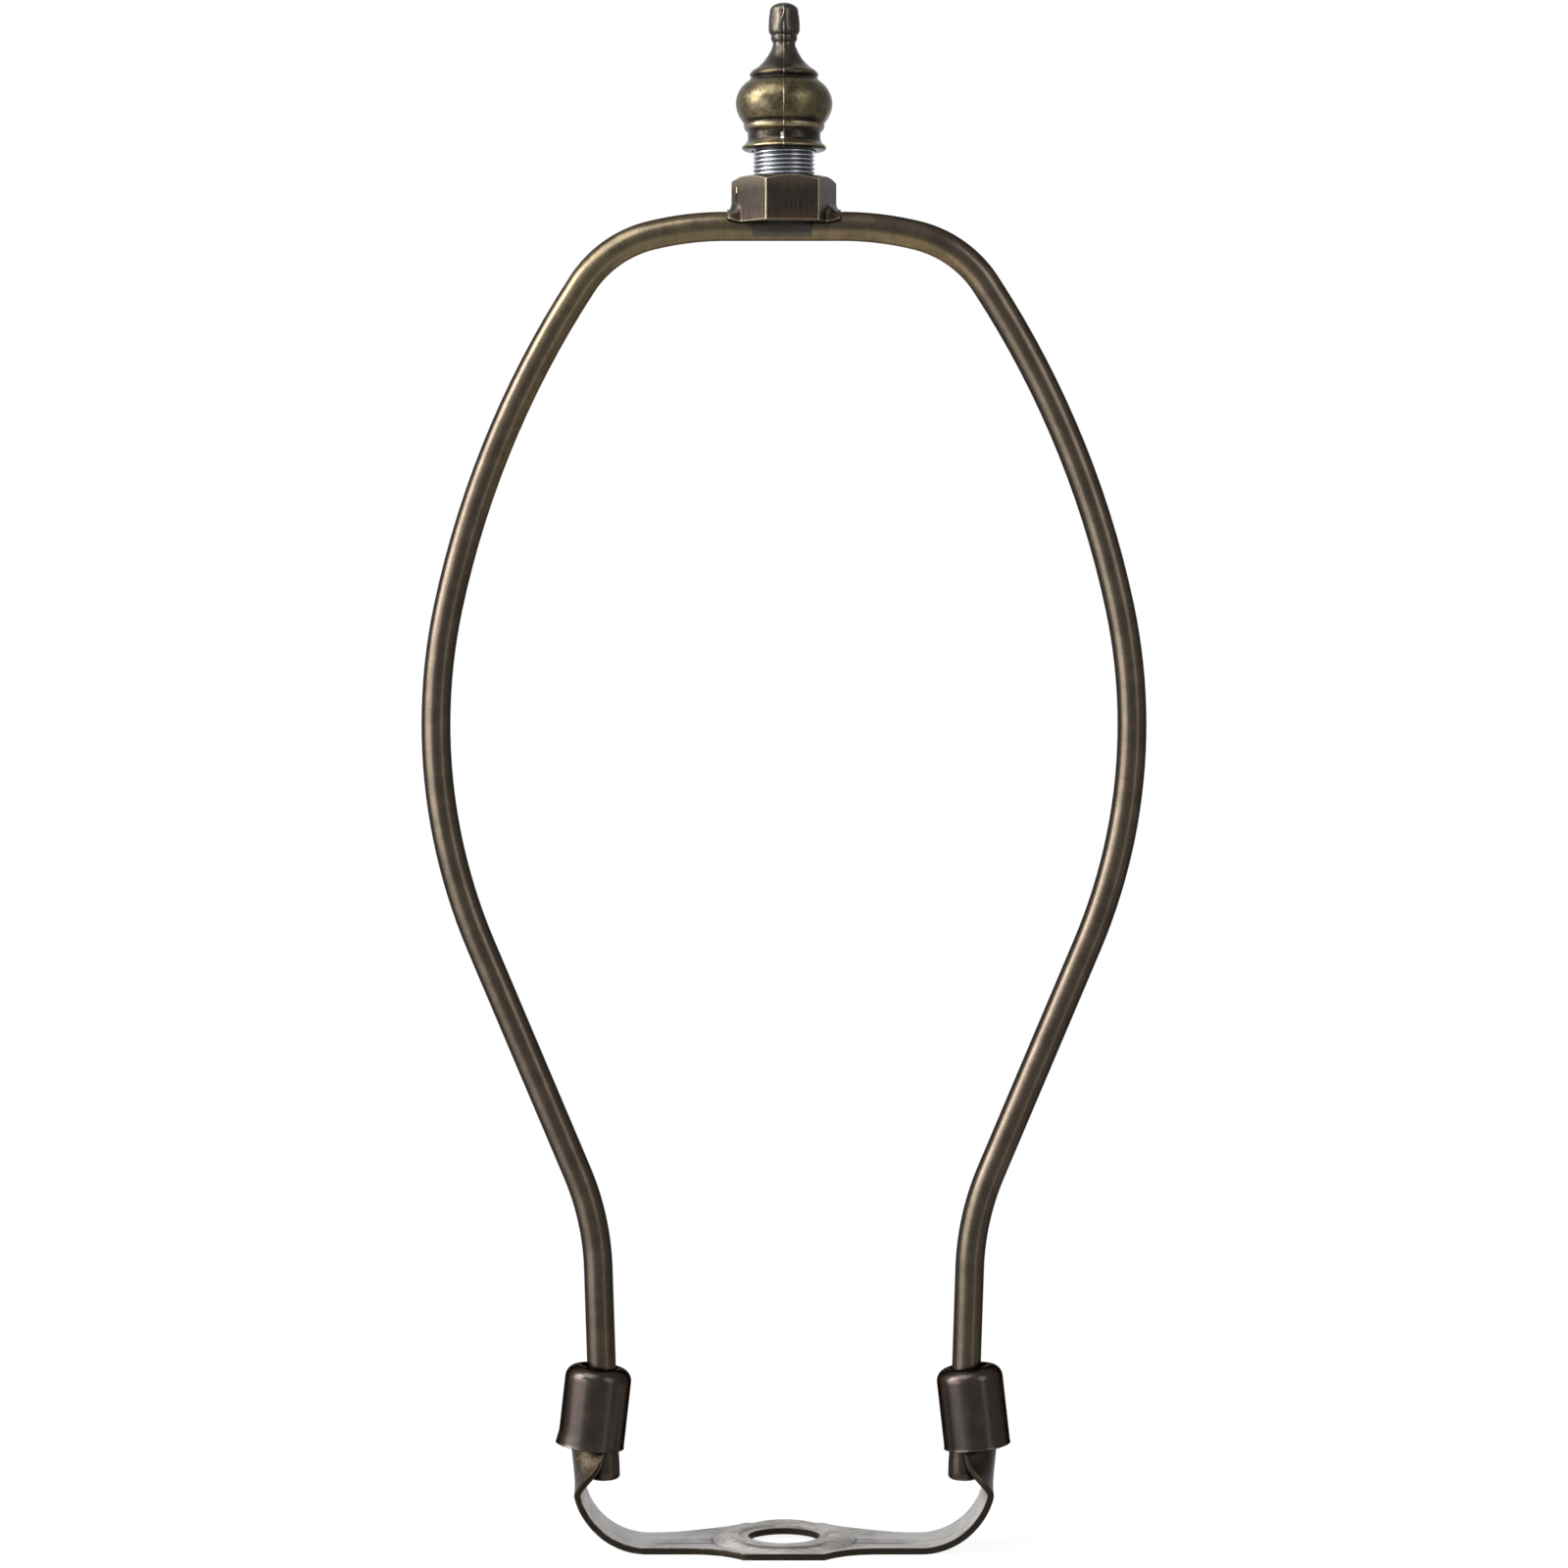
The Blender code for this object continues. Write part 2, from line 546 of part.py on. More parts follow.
def make_hex_seat(crown):
    bottom = crown + HEX_OVER_WIRE_AXIS
    top = bottom + HEX_HEIGHT
    prism = cylinder(HEX_RADIUS, bottom, top, segments=6)
    bmesh.ops.rotate(prism, verts=prism.verts, cent=(0.0, 0.0, 0.0), matrix=Matrix.Rotation(HEX_TURN, 3, "Z"))
    seat = new_object("hex_seat", prism, PARTS, HEX_BRONZE)

    spread = HEX_HEIGHT / math.tan(CHAMFER_SLOPE)
    chamfer = cylinder(CHAMFER_TOP_RADIUS + spread, bottom, top, 2 * ROUND_STEPS, CHAMFER_TOP_RADIUS)
    shape_with(seat, new_cutter("hex_chamfer", chamfer), "INTERSECT")

    lip = bottom + SKIRT_HEIGHT
    flare_top = lip + SKIRT_FLARE_HEIGHT
    skirt_profile = [
        (0.0, flare_top), (HEX_RADIUS - SKIRT_FLARE_HEIGHT, flare_top),
        *bulged((HEX_RADIUS - SKIRT_REACH, flare_top), (SKIRT_RADIUS, lip), 0.3, 5),
        (SKIRT_RADIUS, bottom), (0.0, bottom),
    ]
    skirt = turned("hex_skirt", skirt_profile, CUTTERS)
    skirt.hide_render = True
    skirt.display_type = "WIRE"
    wings = box(HEX_ACROSS_CORNERS, SKIRT_HALF_WIDTH, bottom - CUT_MARGIN, top)
    shape_with(skirt, new_cutter("hex_skirt_wings", wings), "INTERSECT")
    shape_with(seat, skirt, "UNION")

    outline = [(-SKIRT_RADIUS - CUT_MARGIN, lip), (-SKIRT_RADIUS - CUT_MARGIN, top + CUT_MARGIN)]
    outline += [(SKIRT_RADIUS + CUT_MARGIN, top + CUT_MARGIN), (SKIRT_RADIUS + CUT_MARGIN, lip)]
    outline.append((SKIRT_RADIUS, lip))
    foot = SKIRT_RADIUS - SKIRT_UNDERCUT
    outline += bulged(outline[-1], (foot, bottom), -0.3, 5)
    outline.append((-foot, bottom))
    outline += bulged(outline[-1], (-SKIRT_RADIUS, lip), -0.3, 5)
    trim = bmesh.new()
    face = trim.faces.new([trim.verts.new((x, -HEX_ACROSS_CORNERS, z)) for x, z in outline])
    pushed = bmesh.ops.extrude_face_region(trim, geom=[face])["geom"]
    moved = [item for item in pushed if isinstance(item, bmesh.types.BMVert)]
    bmesh.ops.translate(trim, verts=moved, vec=(0.0, 2 * HEX_ACROSS_CORNERS, 0.0))
    bmesh.ops.recalc_face_normals(trim, faces=trim.faces)
    shape_with(seat, new_cutter("hex_underside", trim), "INTERSECT")

    groove = cylinder(WIRE_RADIUS + SEAT_GAP, -2 * HEX_RADIUS, 2 * HEX_RADIUS)
    lying = Matrix.Translation((0.0, 0.0, crown)) @ Matrix.Rotation(math.pi / 2, 4, "Y")
    bmesh.ops.transform(groove, verts=groove.verts, matrix=lying)
    shape_with(seat, new_cutter("wire_groove", groove))

    bore = cylinder(BORE_RADIUS, crown + WIRE_RADIUS + SEAT_GAP + BORE_FLOOR, top + CUT_MARGIN)
    shape_with(seat, new_cutter("hex_bore", bore))
    return top


def make_stud(crown, hex_top):
    bottom = crown + WIRE_RADIUS + SEAT_GAP + BORE_FLOOR + SEAT_GAP
    top = hex_top + STUD_SHOWING + STUD_ENGAGEMENT
    profile = [
        (0.0, top), (STUD_RADIUS - STUD_CHAMFER, top), (STUD_RADIUS, top - STUD_CHAMFER),
        (STUD_RADIUS, bottom + STUD_CHAMFER), (STUD_RADIUS - STUD_CHAMFER, bottom), (0.0, bottom),
    ]
    return turned("threaded_stud", profile, PARTS, ZINC)


def ball_radius_at(height):
    """The flattened ball's radius at a height above its widest circle."""
    half = BALL_UPPER_HALF if height > 0.0 else BALL_LOWER_HALF
    return BALL_RADIUS * math.sqrt(1.0 - (height / half) ** 2)


def finial_profile():
    """(radius, height above the underside), from the tip down the outside."""
    rim_top = RIM_HEIGHT
    neck_bottom = rim_top + FLARE_HEIGHT
    neck_top = neck_bottom + NECK_HEIGHT
    bead_foot = neck_top + BEAD_FOOT_HEIGHT
    ball_bottom = bead_foot + BEAD_HEIGHT
    ball_middle = ball_bottom + BALL_BELOW
    ball_top = ball_middle + BALL_ABOVE
    collar_bottom = ball_top + GROOVE_HEIGHT
    collar_middle = collar_bottom + COLLAR_HEIGHT / 2
    cone_bottom = collar_bottom + COLLAR_HEIGHT + COLLAR_STEP_HEIGHT
    cone_top = cone_bottom + CONE_HEIGHT
    small_bead = cone_top + CONE_NECK_HEIGHT
    knob_foot = small_bead + SMALL_BEAD_HEIGHT
    knob_widest = knob_foot + KNOB_SWELL_HEIGHT
    knob_shoulder = knob_widest + KNOB_SHANK_HEIGHT
    knob_dome = knob_shoulder + KNOB_SHOULDER_HEIGHT
    points = [(0.0, knob_dome + KNOB_DOME_HEIGHT)]
    points += bulged(points[-1], (KNOB_DOME_RADIUS, knob_dome), -0.2, 4)
    points += bulged(points[-1], (KNOB_SHOULDER_RADIUS, knob_shoulder), -0.25, 3)
    points += bulged(points[-1], (KNOB_RADIUS, knob_widest), -0.05, 3)
    points += bulged(points[-1], (KNOB_FOOT_RADIUS, knob_foot), -0.25, 3)
    points += bulged(points[-1], (CONE_TOP_RADIUS, small_bead), -0.3, 5)
    points.append((CONE_TOP_RADIUS, cone_top))
    points += bulged(points[-1], (CONE_BASE_RADIUS, cone_bottom), 0.17, 7)
    points += bulged(points[-1], (COLLAR_RADIUS, collar_middle), -0.2, 3)
    points += bulged(points[-1], (COLLAR_RADIUS - COLLAR_GROOVE, collar_bottom), -0.25, 3)
    for step in range(13):
        height = BALL_ABOVE - (BALL_ABOVE + BALL_BELOW) * step / 12
        points.append((ball_radius_at(height), ball_middle + height))
    points += bulged(points[-1], (NECK_RADIUS + BEAD_FOOT_STEP, bead_foot), -0.35, 5)
    points += [(NECK_RADIUS, neck_top), (NECK_RADIUS, neck_bottom)]
    points += bulged(points[-1], (NECK_RADIUS + RIM_STEP - COLLAR_GROOVE, rim_top), 0.2, 5)
    points += bulged(points[-1], (NECK_RADIUS + RIM_STEP, rim_top / 2), -0.2, 3)
    points += bulged(points[-1], (NECK_RADIUS + BASE_STEP, 0.0), -0.3, 3)
    return points, knob_foot


def make_finial(hex_top):
    base = hex_top + STUD_SHOWING
    outside, knob_foot = finial_profile()
    profile = [(radius, base + height) for radius, height in outside]
    bore_top = base + STUD_ENGAGEMENT + BORE_END_GAP
    profile += [(BORE_RADIUS, base), (BORE_RADIUS, bore_top), (0.0, bore_top)]
    blank = turned("finial_blank", profile, CUTTERS)
    bpy.context.view_layer.update()
    graph = bpy.context.evaluated_depsgraph_get()
    mesh = bpy.data.meshes.new_from_object(blank.evaluated_get(graph))
    bpy.data.objects.remove(blank)
    bm = bmesh.new()
    bm.from_mesh(mesh)
    bmesh.ops.remove_doubles(bm, verts=bm.verts, dist=0.001 * MM)
    knob_height = outside[0][1] - knob_foot
    for vert in bm.verts:
        share = (vert.co.z - base - knob_foot) / knob_height
        if share > 0.0:
            hollow = 0.5 - 0.5 * math.cos(KNOB_LOBES * math.atan2(vert.co.y, vert.co.x))
            squeeze = 1.0 - KNOB_LOBE_DEPTH * hollow * math.sin(math.pi * min(share, 1.0))
            vert.co.x *= squeeze
            vert.co.y *= squeeze
    return new_object("finial", bm, PARTS, CAST_BRASS)


clear_scene()
PARTS = new_collection("lamp_harp")
CUTTERS = new_collection("cutters")
BRONZE = new_material("antique_bronze", (0.10, 0.075, 0.045), 0.35, 0.9)
SADDLE_BRONZE = new_material("saddle_bronze", (0.22, 0.21, 0.20), 0.4, 0.9)
FERRULE_BRONZE = new_material("ferrule_bronze", (0.09, 0.07, 0.055), 0.3, 0.9)
HEX_BRONZE = new_material("hex_bronze", (0.11, 0.085, 0.06), 0.35, 0.9)
ZINC = new_material("zinc_plate", (0.62, 0.63, 0.66), 0.3, 1.0)
CAST_BRASS = new_material("cast_antique_brass", (0.20, 0.15, 0.07), 0.45, 0.9)

make_saddle()
crown_height = make_wire()
make_ferrule("ferrule_right", 1)
make_ferrule("ferrule_left", -1)
hex_top_height = make_hex_seat(crown_height)
make_stud(crown_height, hex_top_height)
make_finial(hex_top_height)
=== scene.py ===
"""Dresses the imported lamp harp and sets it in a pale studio.

The fine pieces follow the part's own sizes, in metres: the bent wire bow, the stamped saddle, the
two ferrules, the hex seat, the threaded stud and the finial. Each rides on the body that carries
it, and each has its own plated or cast finish.
"""

import logging
import math
from dataclasses import dataclass
from enum import Enum
from typing import Any, Callable, Mapping, Optional, Sequence, Union

import bmesh
import bpy
from mathutils import Matrix, Vector, noise


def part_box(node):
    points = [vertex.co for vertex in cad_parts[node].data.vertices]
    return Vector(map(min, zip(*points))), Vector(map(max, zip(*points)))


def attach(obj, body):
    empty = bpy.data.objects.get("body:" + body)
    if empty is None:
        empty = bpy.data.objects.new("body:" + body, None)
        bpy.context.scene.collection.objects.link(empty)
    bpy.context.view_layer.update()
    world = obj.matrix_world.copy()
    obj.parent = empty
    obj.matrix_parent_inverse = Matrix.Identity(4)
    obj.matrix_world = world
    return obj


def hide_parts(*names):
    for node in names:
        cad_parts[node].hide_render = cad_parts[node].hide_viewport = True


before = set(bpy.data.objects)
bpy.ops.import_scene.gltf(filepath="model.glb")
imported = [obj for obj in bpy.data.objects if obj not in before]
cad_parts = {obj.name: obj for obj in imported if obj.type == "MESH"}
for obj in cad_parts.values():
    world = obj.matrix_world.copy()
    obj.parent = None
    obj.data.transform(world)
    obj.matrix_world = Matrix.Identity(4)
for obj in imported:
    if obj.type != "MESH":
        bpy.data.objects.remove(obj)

MM = 0.001
FULL_TURN = 2.0 * math.pi
log = logging.getLogger("lamp_harp")

# The gap that doubles merge across, and the sizes that several pieces share
DOUBLE = 0.001 * MM
WIRE_RADIUS = 2.15 * MM
STUD_RADIUS = 4.55 * MM
LEG_LEAN = math.radians(1.8)
FOOT_X = 26.65 * MM
FOOT_HEIGHT = 10.2 * MM
MOUTH_HEIGHT = 15.25 * MM
MOUTH_X = FOOT_X + (MOUTH_HEIGHT - FOOT_HEIGHT) * math.tan(LEG_LEAN)
MOUTH_OFFSET = 2.02 * MM
FERRULE_LENGTH = 12.0 * MM

Point = tuple[float, float]
Span = tuple[float, float]
Colour = tuple[float, float, float]
Feed = Union[float, Sequence[float], "Signal"]


class Side(Enum):
    """The two legs of the harp, each with its direction along X."""

    LEFT = -1
    RIGHT = 1

    @property
    def word(self) -> str:
        """The side's name in lower case."""
        return self.name.lower()


# Shader maths

class Signal:
    """One output of a finish's node tree, with shader maths written as Python operators."""

    def __init__(self, tree: "FinishTree", socket: bpy.types.NodeSocket) -> None:
        """Wraps a socket.

        Args:
            tree: The finish's tree that holds the socket.
            socket: The output socket.
        """
        self.tree = tree
        self.socket = socket

    def _math(self, operation: str, *values: Feed) -> "Signal":
        """Adds a Math node.

        Args:
            operation: The node's operation.
            values: Its inputs, in order.

        Returns:
            The node's result.
        """
        return self.tree.node("ShaderNodeMath", {"operation": operation}, dict(enumerate(values)))

    def __add__(self, other: Feed) -> "Signal":
        """This plus other."""
        return self._math("ADD", self, other)

    def __radd__(self, other: Feed) -> "Signal":
        """Other plus this."""
        return self._math("ADD", other, self)

    def __sub__(self, other: Feed) -> "Signal":
        """This minus other."""
        return self._math("SUBTRACT", self, other)

    def __rsub__(self, other: Feed) -> "Signal":
        """Other minus this."""
        return self._math("SUBTRACT", other, self)

    def __mul__(self, other: Feed) -> "Signal":
        """This times other."""
        return self._math("MULTIPLY", self, other)

    def __rmul__(self, other: Feed) -> "Signal":
        """Other times this."""
        return self._math("MULTIPLY", other, self)

    def __abs__(self) -> "Signal":
        """This without its sign."""
        return self._math("ABSOLUTE", self)

    def root(self) -> "Signal":
        """The square root."""
        return self._math("SQRT", self)

    def ramp(self, low: float, high: float) -> "Signal":
        """A smooth step from 0 at low to 1 at high."""
        settings = {"interpolation_type": "SMOOTHSTEP"}
        return self.tree.node(
            "ShaderNodeMapRange", settings, {"Value": self, "From Min": low, "From Max": high})

    def window(self, centre: float, half_width: float, blur: float) -> "Signal":
        """1 within half_width of centre, dying out over blur on either side."""
        return 1.0 - abs(self - centre).ramp(half_width, half_width + blur)


class FinishTree:
    """A finish's node tree, with the piece's own coordinates in millimetres and its patterns."""

    def __init__(self, name: str) -> None:
        """Starts a material with its shader.

        Args:
            name: The material's name.
        """
        self.material = bpy.data.materials.new(name)
        self.material.use_nodes = True
        self.shader = self.material.node_tree.nodes["Principled BSDF"]
        self.place = self.stretched(self.node("ShaderNodeTexCoord", output="Object"), (1000.0,) * 3)

    def node(
        self,
        kind: str,
        settings: Optional[Mapping[str, Any]] = None,
        inputs: Optional[Mapping[Union[int, str], Feed]] = None,
        output: Union[int, str] = 0,
    ) -> Signal:
        """Adds a node.

        Args:
            kind: The node's type.
            settings: Its settings, which are set first.
            inputs: The values or links of its sockets, by index or name.
            output: The output that is wanted.

        Returns:
            The wanted output.
        """
        node = self.material.node_tree.nodes.new(kind)
        for key, value in (settings or {}).items():
            setattr(node, key, value)
        for key, value in (inputs or {}).items():
            self.feed(node.inputs[key], value)
        return Signal(self, node.outputs[output])

    def feed(self, socket: bpy.types.NodeSocket, value: Feed) -> None:
        """Links a signal to a socket, or sets the socket's own value.

        Args:
            socket: The input socket.
            value: A signal, a number, a vector or a colour.
        """
        if isinstance(value, Signal):
            self.material.node_tree.links.new(value.socket, socket)
        elif socket.type == "RGBA" and len(value) == 3:
            socket.default_value = (*value, 1.0)
        else:
            socket.default_value = value

    def stretched(self, vector: Signal, scale: Sequence[float]) -> Signal:
        """The vector with each axis scaled."""
        return self.node("ShaderNodeMapping", {}, {"Vector": vector, "Scale": scale})

    def axes(self, vector: Signal) -> list[Signal]:
        """The vector's x, y and z."""
        parts = self.node("ShaderNodeSeparateXYZ", {}, {0: vector}).socket.node.outputs
        return [Signal(self, part) for part in parts]

    def noise(self, vector: Signal, scale: float, detail: float = 4.0, rough: float = 0.55) -> Signal:
        """Cloudy noise about 0.5.

        Args:
            vector: Where it is read.
            scale: Its features for each unit of the vector.
            detail: Its octaves.
            rough: How strong the finer octaves are.

        Returns:
            The noise.
        """
        inputs = {"Vector": vector, "Scale": scale, "Detail": detail, "Roughness": rough}
        return self.node("ShaderNodeTexNoise", {}, inputs)

    def attribute(self, name: str) -> Signal:
        """One of the mesh's own values."""
        return self.node("ShaderNodeAttribute", {"attribute_name": name}, output="Fac")

    def mixed(self, share: Feed, first: Feed, second: Feed) -> Signal:
        """Mixes two colours.

        Args:
            share: The second colour's share.
            first: The colour at 0.
            second: The colour at 1.

        Returns:
            The mixed colour.
        """
        inputs = {0: share, 6: first, 7: second}
        return self.node("ShaderNodeMix", {"data_type": "RGBA"}, inputs, output=2)

    def bump(self, height: Signal, depth: float, below: Optional[Signal] = None) -> Signal:
        """A bumped normal.

        Args:
            height: The relief, from 0 to 1.
            depth: How deep a relief of 1 is, in metres.
            below: The normal of coarser relief under this one.

        Returns:
            The normal.
        """
        inputs: dict[Union[int, str], Feed] = {"Height": height, "Distance": depth, "Strength": 1.0}
        if below is not None:
            inputs["Normal"] = below
        return self.node("ShaderNodeBump", {}, inputs)

    def dress(self, **sockets: Feed) -> bpy.types.Material:
        """Feeds the shader and hands over the material.

        Args:
            sockets: The shader's sockets in lower case, with underscores for spaces.

        Returns:
            The finished material.
        """
        for key, value in sockets.items():
            self.feed(self.shader.inputs[key.replace("_", " ").title()], value)
        return self.material


# Mesh work

def smooth(low: float, high: float, value: float) -> float:
    """A smooth step from 0 at low to 1 at high."""
    share = min(max((value - low) / (high - low), 0.0), 1.0)
    return share * share * (3.0 - 2.0 * share)


def bulged(start: Point, end: Point, bulge: float, steps: int) -> list[Point]:
    """The points after start along an arc to end.

    Args:
        start: Where the arc starts.
        end: Where it ends.
        bulge: How far it stands out, as a share of half the chord, to the right of its direction.
        steps: The points along it.

    Returns:
        The points, with end as the last.
    """
    chord = Vector(end) - Vector(start)
    side = Vector((chord.y, -chord.x)) * 0.5
    middle = (Vector(start) + Vector(end)) / 2
    sweep = 4.0 * math.atan(abs(bulge))
    radius = chord.length / (2.0 * math.sin(sweep / 2.0))
    centre = middle - side.normalized() * math.copysign(radius * math.cos(sweep / 2.0), bulge)
    first = Vector(start) - centre
    turn = math.copysign(sweep / steps, bulge)
    points = [tuple(centre + Matrix.Rotation(turn * step, 2) @ first) for step in range(1, steps)]
    return [*points, tuple(end)]


def spread(points: Sequence[Point], spacing: float) -> list[Point]:
    """The same profile with points no further apart than spacing.

    Args:
        points: The profile.
        spacing: The widest gap that is left.

    Returns:
        The profile with its added points.
    """
    close = [points[0]]
    for start, end in zip(points, points[1:]):
        steps = max(1, math.ceil(math.dist(start, end) / spacing))
        shares = [step / steps for step in range(1, steps + 1)]
        close += [tuple(Vector(start).lerp(Vector(end), share)) for share in shares]
    return close


def tidy(bm: bmesh.types.BMesh, gap: float = DOUBLE) -> None:
    """Merges a mesh's doubles within a gap and turns its faces outwards."""
    bmesh.ops.remove_doubles(bm, verts=bm.verts, dist=gap)
    bmesh.ops.recalc_face_normals(bm, faces=bm.faces)


def turned(profile: Sequence[Point], steps: int, closed: bool) -> bmesh.types.BMesh:
    """Spins a profile about Z.

    Args:
        profile: The (radius, height) points.
        steps: The steps round.
        closed: Whether the last point joins the first.

    Returns:
        The turned mesh.
    """
    bm = bmesh.new()
    verts = [bm.verts.new((radius, 0.0, height)) for radius, height in profile]
    edges = [bm.edges.new(pair) for pair in zip(verts, verts[1:])]
    if closed:
        edges.append(bm.edges.new((verts[-1], verts[0])))
    bmesh.ops.spin(
        bm, geom=[*verts, *edges], cent=(0.0, 0.0, 0.0), axis=(0.0, 0.0, 1.0),
        angle=FULL_TURN, steps=steps, use_merge=True,
    )
    tidy(bm)
    return bm


def piece(
    name: str, bm: bmesh.types.BMesh, material: bpy.types.Material, node: str, body: str,
    sharp: float = 40.0,
) -> bpy.types.Object:
    """Makes a finished piece that stands for a node of the part.

    Args:
        name: The piece's name.
        bm: Its mesh, in place.
        material: Its finish.
        node: The node that it stands for.
        body: The body that carries it.
        sharp: The angle in degrees above which an edge stays sharp.

    Returns:
        The piece.
    """
    mesh = bpy.data.meshes.new(name)
    bm.to_mesh(mesh)
    bm.free()
    mesh.shade_smooth()
    mesh.set_sharp_from_angle(angle=math.radians(sharp))
    mesh.materials.append(material)
    obj = bpy.data.objects.new(name, mesh)
    bpy.context.scene.collection.objects.link(obj)
    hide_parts(node)
    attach(obj, body)
    log.info("%s: %d faces for %s", name, len(mesh.polygons), node)
    return obj


# Finishes

@dataclass(frozen=True)
class BrushedBronze:
    """Antique bronze on the wire: dark plating, lighter where it faces front or back, partly brush wear
    and partly a painted sheen.
    """

    dark: Colour = (0.044, 0.0336, 0.0252)
    relieved: Colour = (0.086, 0.0668, 0.0480)
    gold: Colour = (0.26, 0.19, 0.09)
    amber: Colour = (0.190, 0.138, 0.070)
    pressed: Colour = (0.062, 0.054, 0.050)
    crown: Colour = (0.135, 0.106, 0.060)
    foot: Colour = (0.012, 0.010, 0.008)
    nicked: Colour = (0.008, 0.007, 0.006)
    wire_radius: float = WIRE_RADIUS / MM
    amber_rise: Span = (125.0, 165.0)
    amber_end: Span = (24.0, 31.0)
    crown_rise: Span = (172.0, 190.0)
    crown_end: Span = (-2.0, 8.0)
    fleck_rise: Span = (176.0, 194.0)
    flat_middle: float = -0.25
    flat_half: float = 4.3
    flat_rise: Span = (185.0, 190.0)
    nick_rise: Span = (195.6, 196.6)
    foot_rise: Span = (15.5, 17.5)
    ring_depth: float = 0.0014 * MM
    grain_depth: float = 0.0005 * MM

    def material(self) -> bpy.types.Material:
        """Mixes the finish, for a mesh with the attributes "along" and "under".

        Returns:
            The finish's material.
        """
        tree = FinishTree("antique_bronze")
        x, y, z = tree.axes(tree.place)
        along = tree.attribute("along") * 1000.0
        ring_place = tree.node("ShaderNodeCombineXYZ", {}, {0: along * 7.0, 1: y * 0.35})
        rings = tree.noise(ring_place, 1.0, 5.0, 0.7)
        clouds = tree.noise(tree.place, 0.35, 5.0, 0.6)
        grain = tree.noise(tree.place, 9.0, 3.0, 0.6)
        # Lighter where the wire faces front or back: partly brush wear, partly a painted sheen for the
        # light band down its face.
        facing = abs(y) * (1.0 / self.wire_radius)
        band = facing.ramp(0.30, 0.98) * (0.45 + 0.85 * clouds.ramp(0.3, 0.75))
        base = tree.mixed(band, self.dark, self.relieved)
        base = tree.mixed(0.75 * rings.ramp(0.5, 0.8) * band, base, self.relieved)
        # Painted reflection: a warm lighter tone on the undersides of the upper bow, except at the far
        # right, for light thrown up from below.
        under = tree.attribute("under").ramp(0.05, 0.42) * z.ramp(*self.amber_rise)
        under = under * (1.0 - x.ramp(*self.amber_end))
        base = tree.mixed(under * (0.55 + 0.45 * clouds.ramp(0.35, 0.65)), base, self.amber)
        # Lighter and more golden over the top of the bow on its left: partly worn gold, partly a painted
        # highlight.
        high = z.ramp(*self.crown_rise) * (1.0 - x.ramp(*self.crown_end))
        base = tree.mixed(high * (0.3 + 0.5 * clouds.ramp(0.35, 0.6)), base, self.crown)
        fleck = grain.ramp(0.58, 0.70) * z.ramp(*self.fleck_rise) * clouds.ramp(0.42, 0.6)
        base = tree.mixed(0.8 * fleck, base, self.gold)
        base = tree.mixed(0.55 * rings.ramp(0.52, 0.25), base, self.dark)
        front = (0.0 - y).ramp(1.2, 1.7)
        flat = front * x.window(self.flat_middle, self.flat_half, 0.15) * z.ramp(*self.flat_rise)
        base = tree.mixed(flat * 0.9, base, self.pressed)
        nick = tree.noise(tree.place, 2.2, 2.0, 0.5).ramp(0.46, 0.56)
        ends = abs(x - self.flat_middle).window(self.flat_half + 0.05, 0.12, 0.3) * front
        base = tree.mixed(ends * z.ramp(*self.nick_rise) * nick, base, self.nicked)
        # Painted shade: darker low on each leg, down in its gutter and ferrule.
        base = tree.mixed(0.55 * (1.0 - z.ramp(*self.foot_rise)), base, self.foot)
        rough = 0.20 + 0.14 * rings + 0.05 * grain
        normal = tree.bump(rings * (1.0 - flat), self.ring_depth)
        normal = tree.bump(grain, self.grain_depth, normal)
        return tree.dress(
            base_color=base, roughness=rough, metallic=1.0, normal=normal,
            specular_tint=(0.22, 0.20, 0.18), coat_weight=0.16, coat_roughness=0.13,
        )


@dataclass(frozen=True)
class DrawnBronze:
    """Dark bronze on the ferrules: semi-gloss, with a faint red cast and drawing lines."""

    plate: Colour = (0.046, 0.039, 0.035)
    red: Colour = (0.054, 0.041, 0.036)
    gold: Colour = (0.088, 0.067, 0.048)
    worn: Colour = (0.095, 0.078, 0.064)
    soot: Colour = (0.018, 0.015, 0.013)
    scale: Colour = (0.006, 0.005, 0.005)
    top: float = FERRULE_LENGTH / MM
    bore_reach: Span = (2.95, 3.3)
    line_depth: float = 0.0007 * MM
    grain_depth: float = 0.0005 * MM

    def material(self) -> bpy.types.Material:
        """Mixes the finish, for a mesh with the attributes "up", "round" and "reach".

        Returns:
            The finish's material.
        """
        tree = FinishTree("ferrule_bronze")
        up = tree.attribute("up") * 1000.0
        around = tree.attribute("round")
        line_place = tree.node("ShaderNodeCombineXYZ", {}, {0: around * 26.0, 1: up * 0.22})
        lines = tree.noise(line_place, 1.0, 5.0, 0.65)
        clouds = tree.noise(tree.place, 0.42, 4.0, 0.6)
        grain = tree.noise(tree.place, 7.0, 3.0, 0.6)
        base = tree.mixed(clouds.ramp(0.4, 0.7), self.plate, self.red)
        base = tree.mixed(0.5 * grain.ramp(0.56, 0.72) * clouds.ramp(0.45, 0.62), base, self.gold)
        base = tree.mixed(0.35 * lines.ramp(0.5, 0.2), base, self.soot)
        mouth = up.window(0.02, 0.16, 0.12) * tree.noise(tree.place, 1.1, 3.0, 0.6).ramp(0.42, 0.6)
        base = tree.mixed(mouth, base, self.worn)
        scale = tree.noise(tree.place, 1.6, 4.0, 0.65).ramp(0.47, 0.56)
        near = 1.0 - abs(tree.attribute("reach")).ramp(*self.bore_reach)
        base = tree.mixed(up.window(self.top, 0.42, 0.06) * scale * near, base, self.scale)
        rough = 0.20 + 0.12 * lines + 0.10 * clouds.ramp(0.45, 0.75)
        normal = tree.bump(lines, self.line_depth)
        normal = tree.bump(grain, self.grain_depth, normal)
        return tree.dress(
            base_color=base, roughness=rough, metallic=1.0, normal=normal,
            specular_tint=(0.26, 0.24, 0.22),
        )


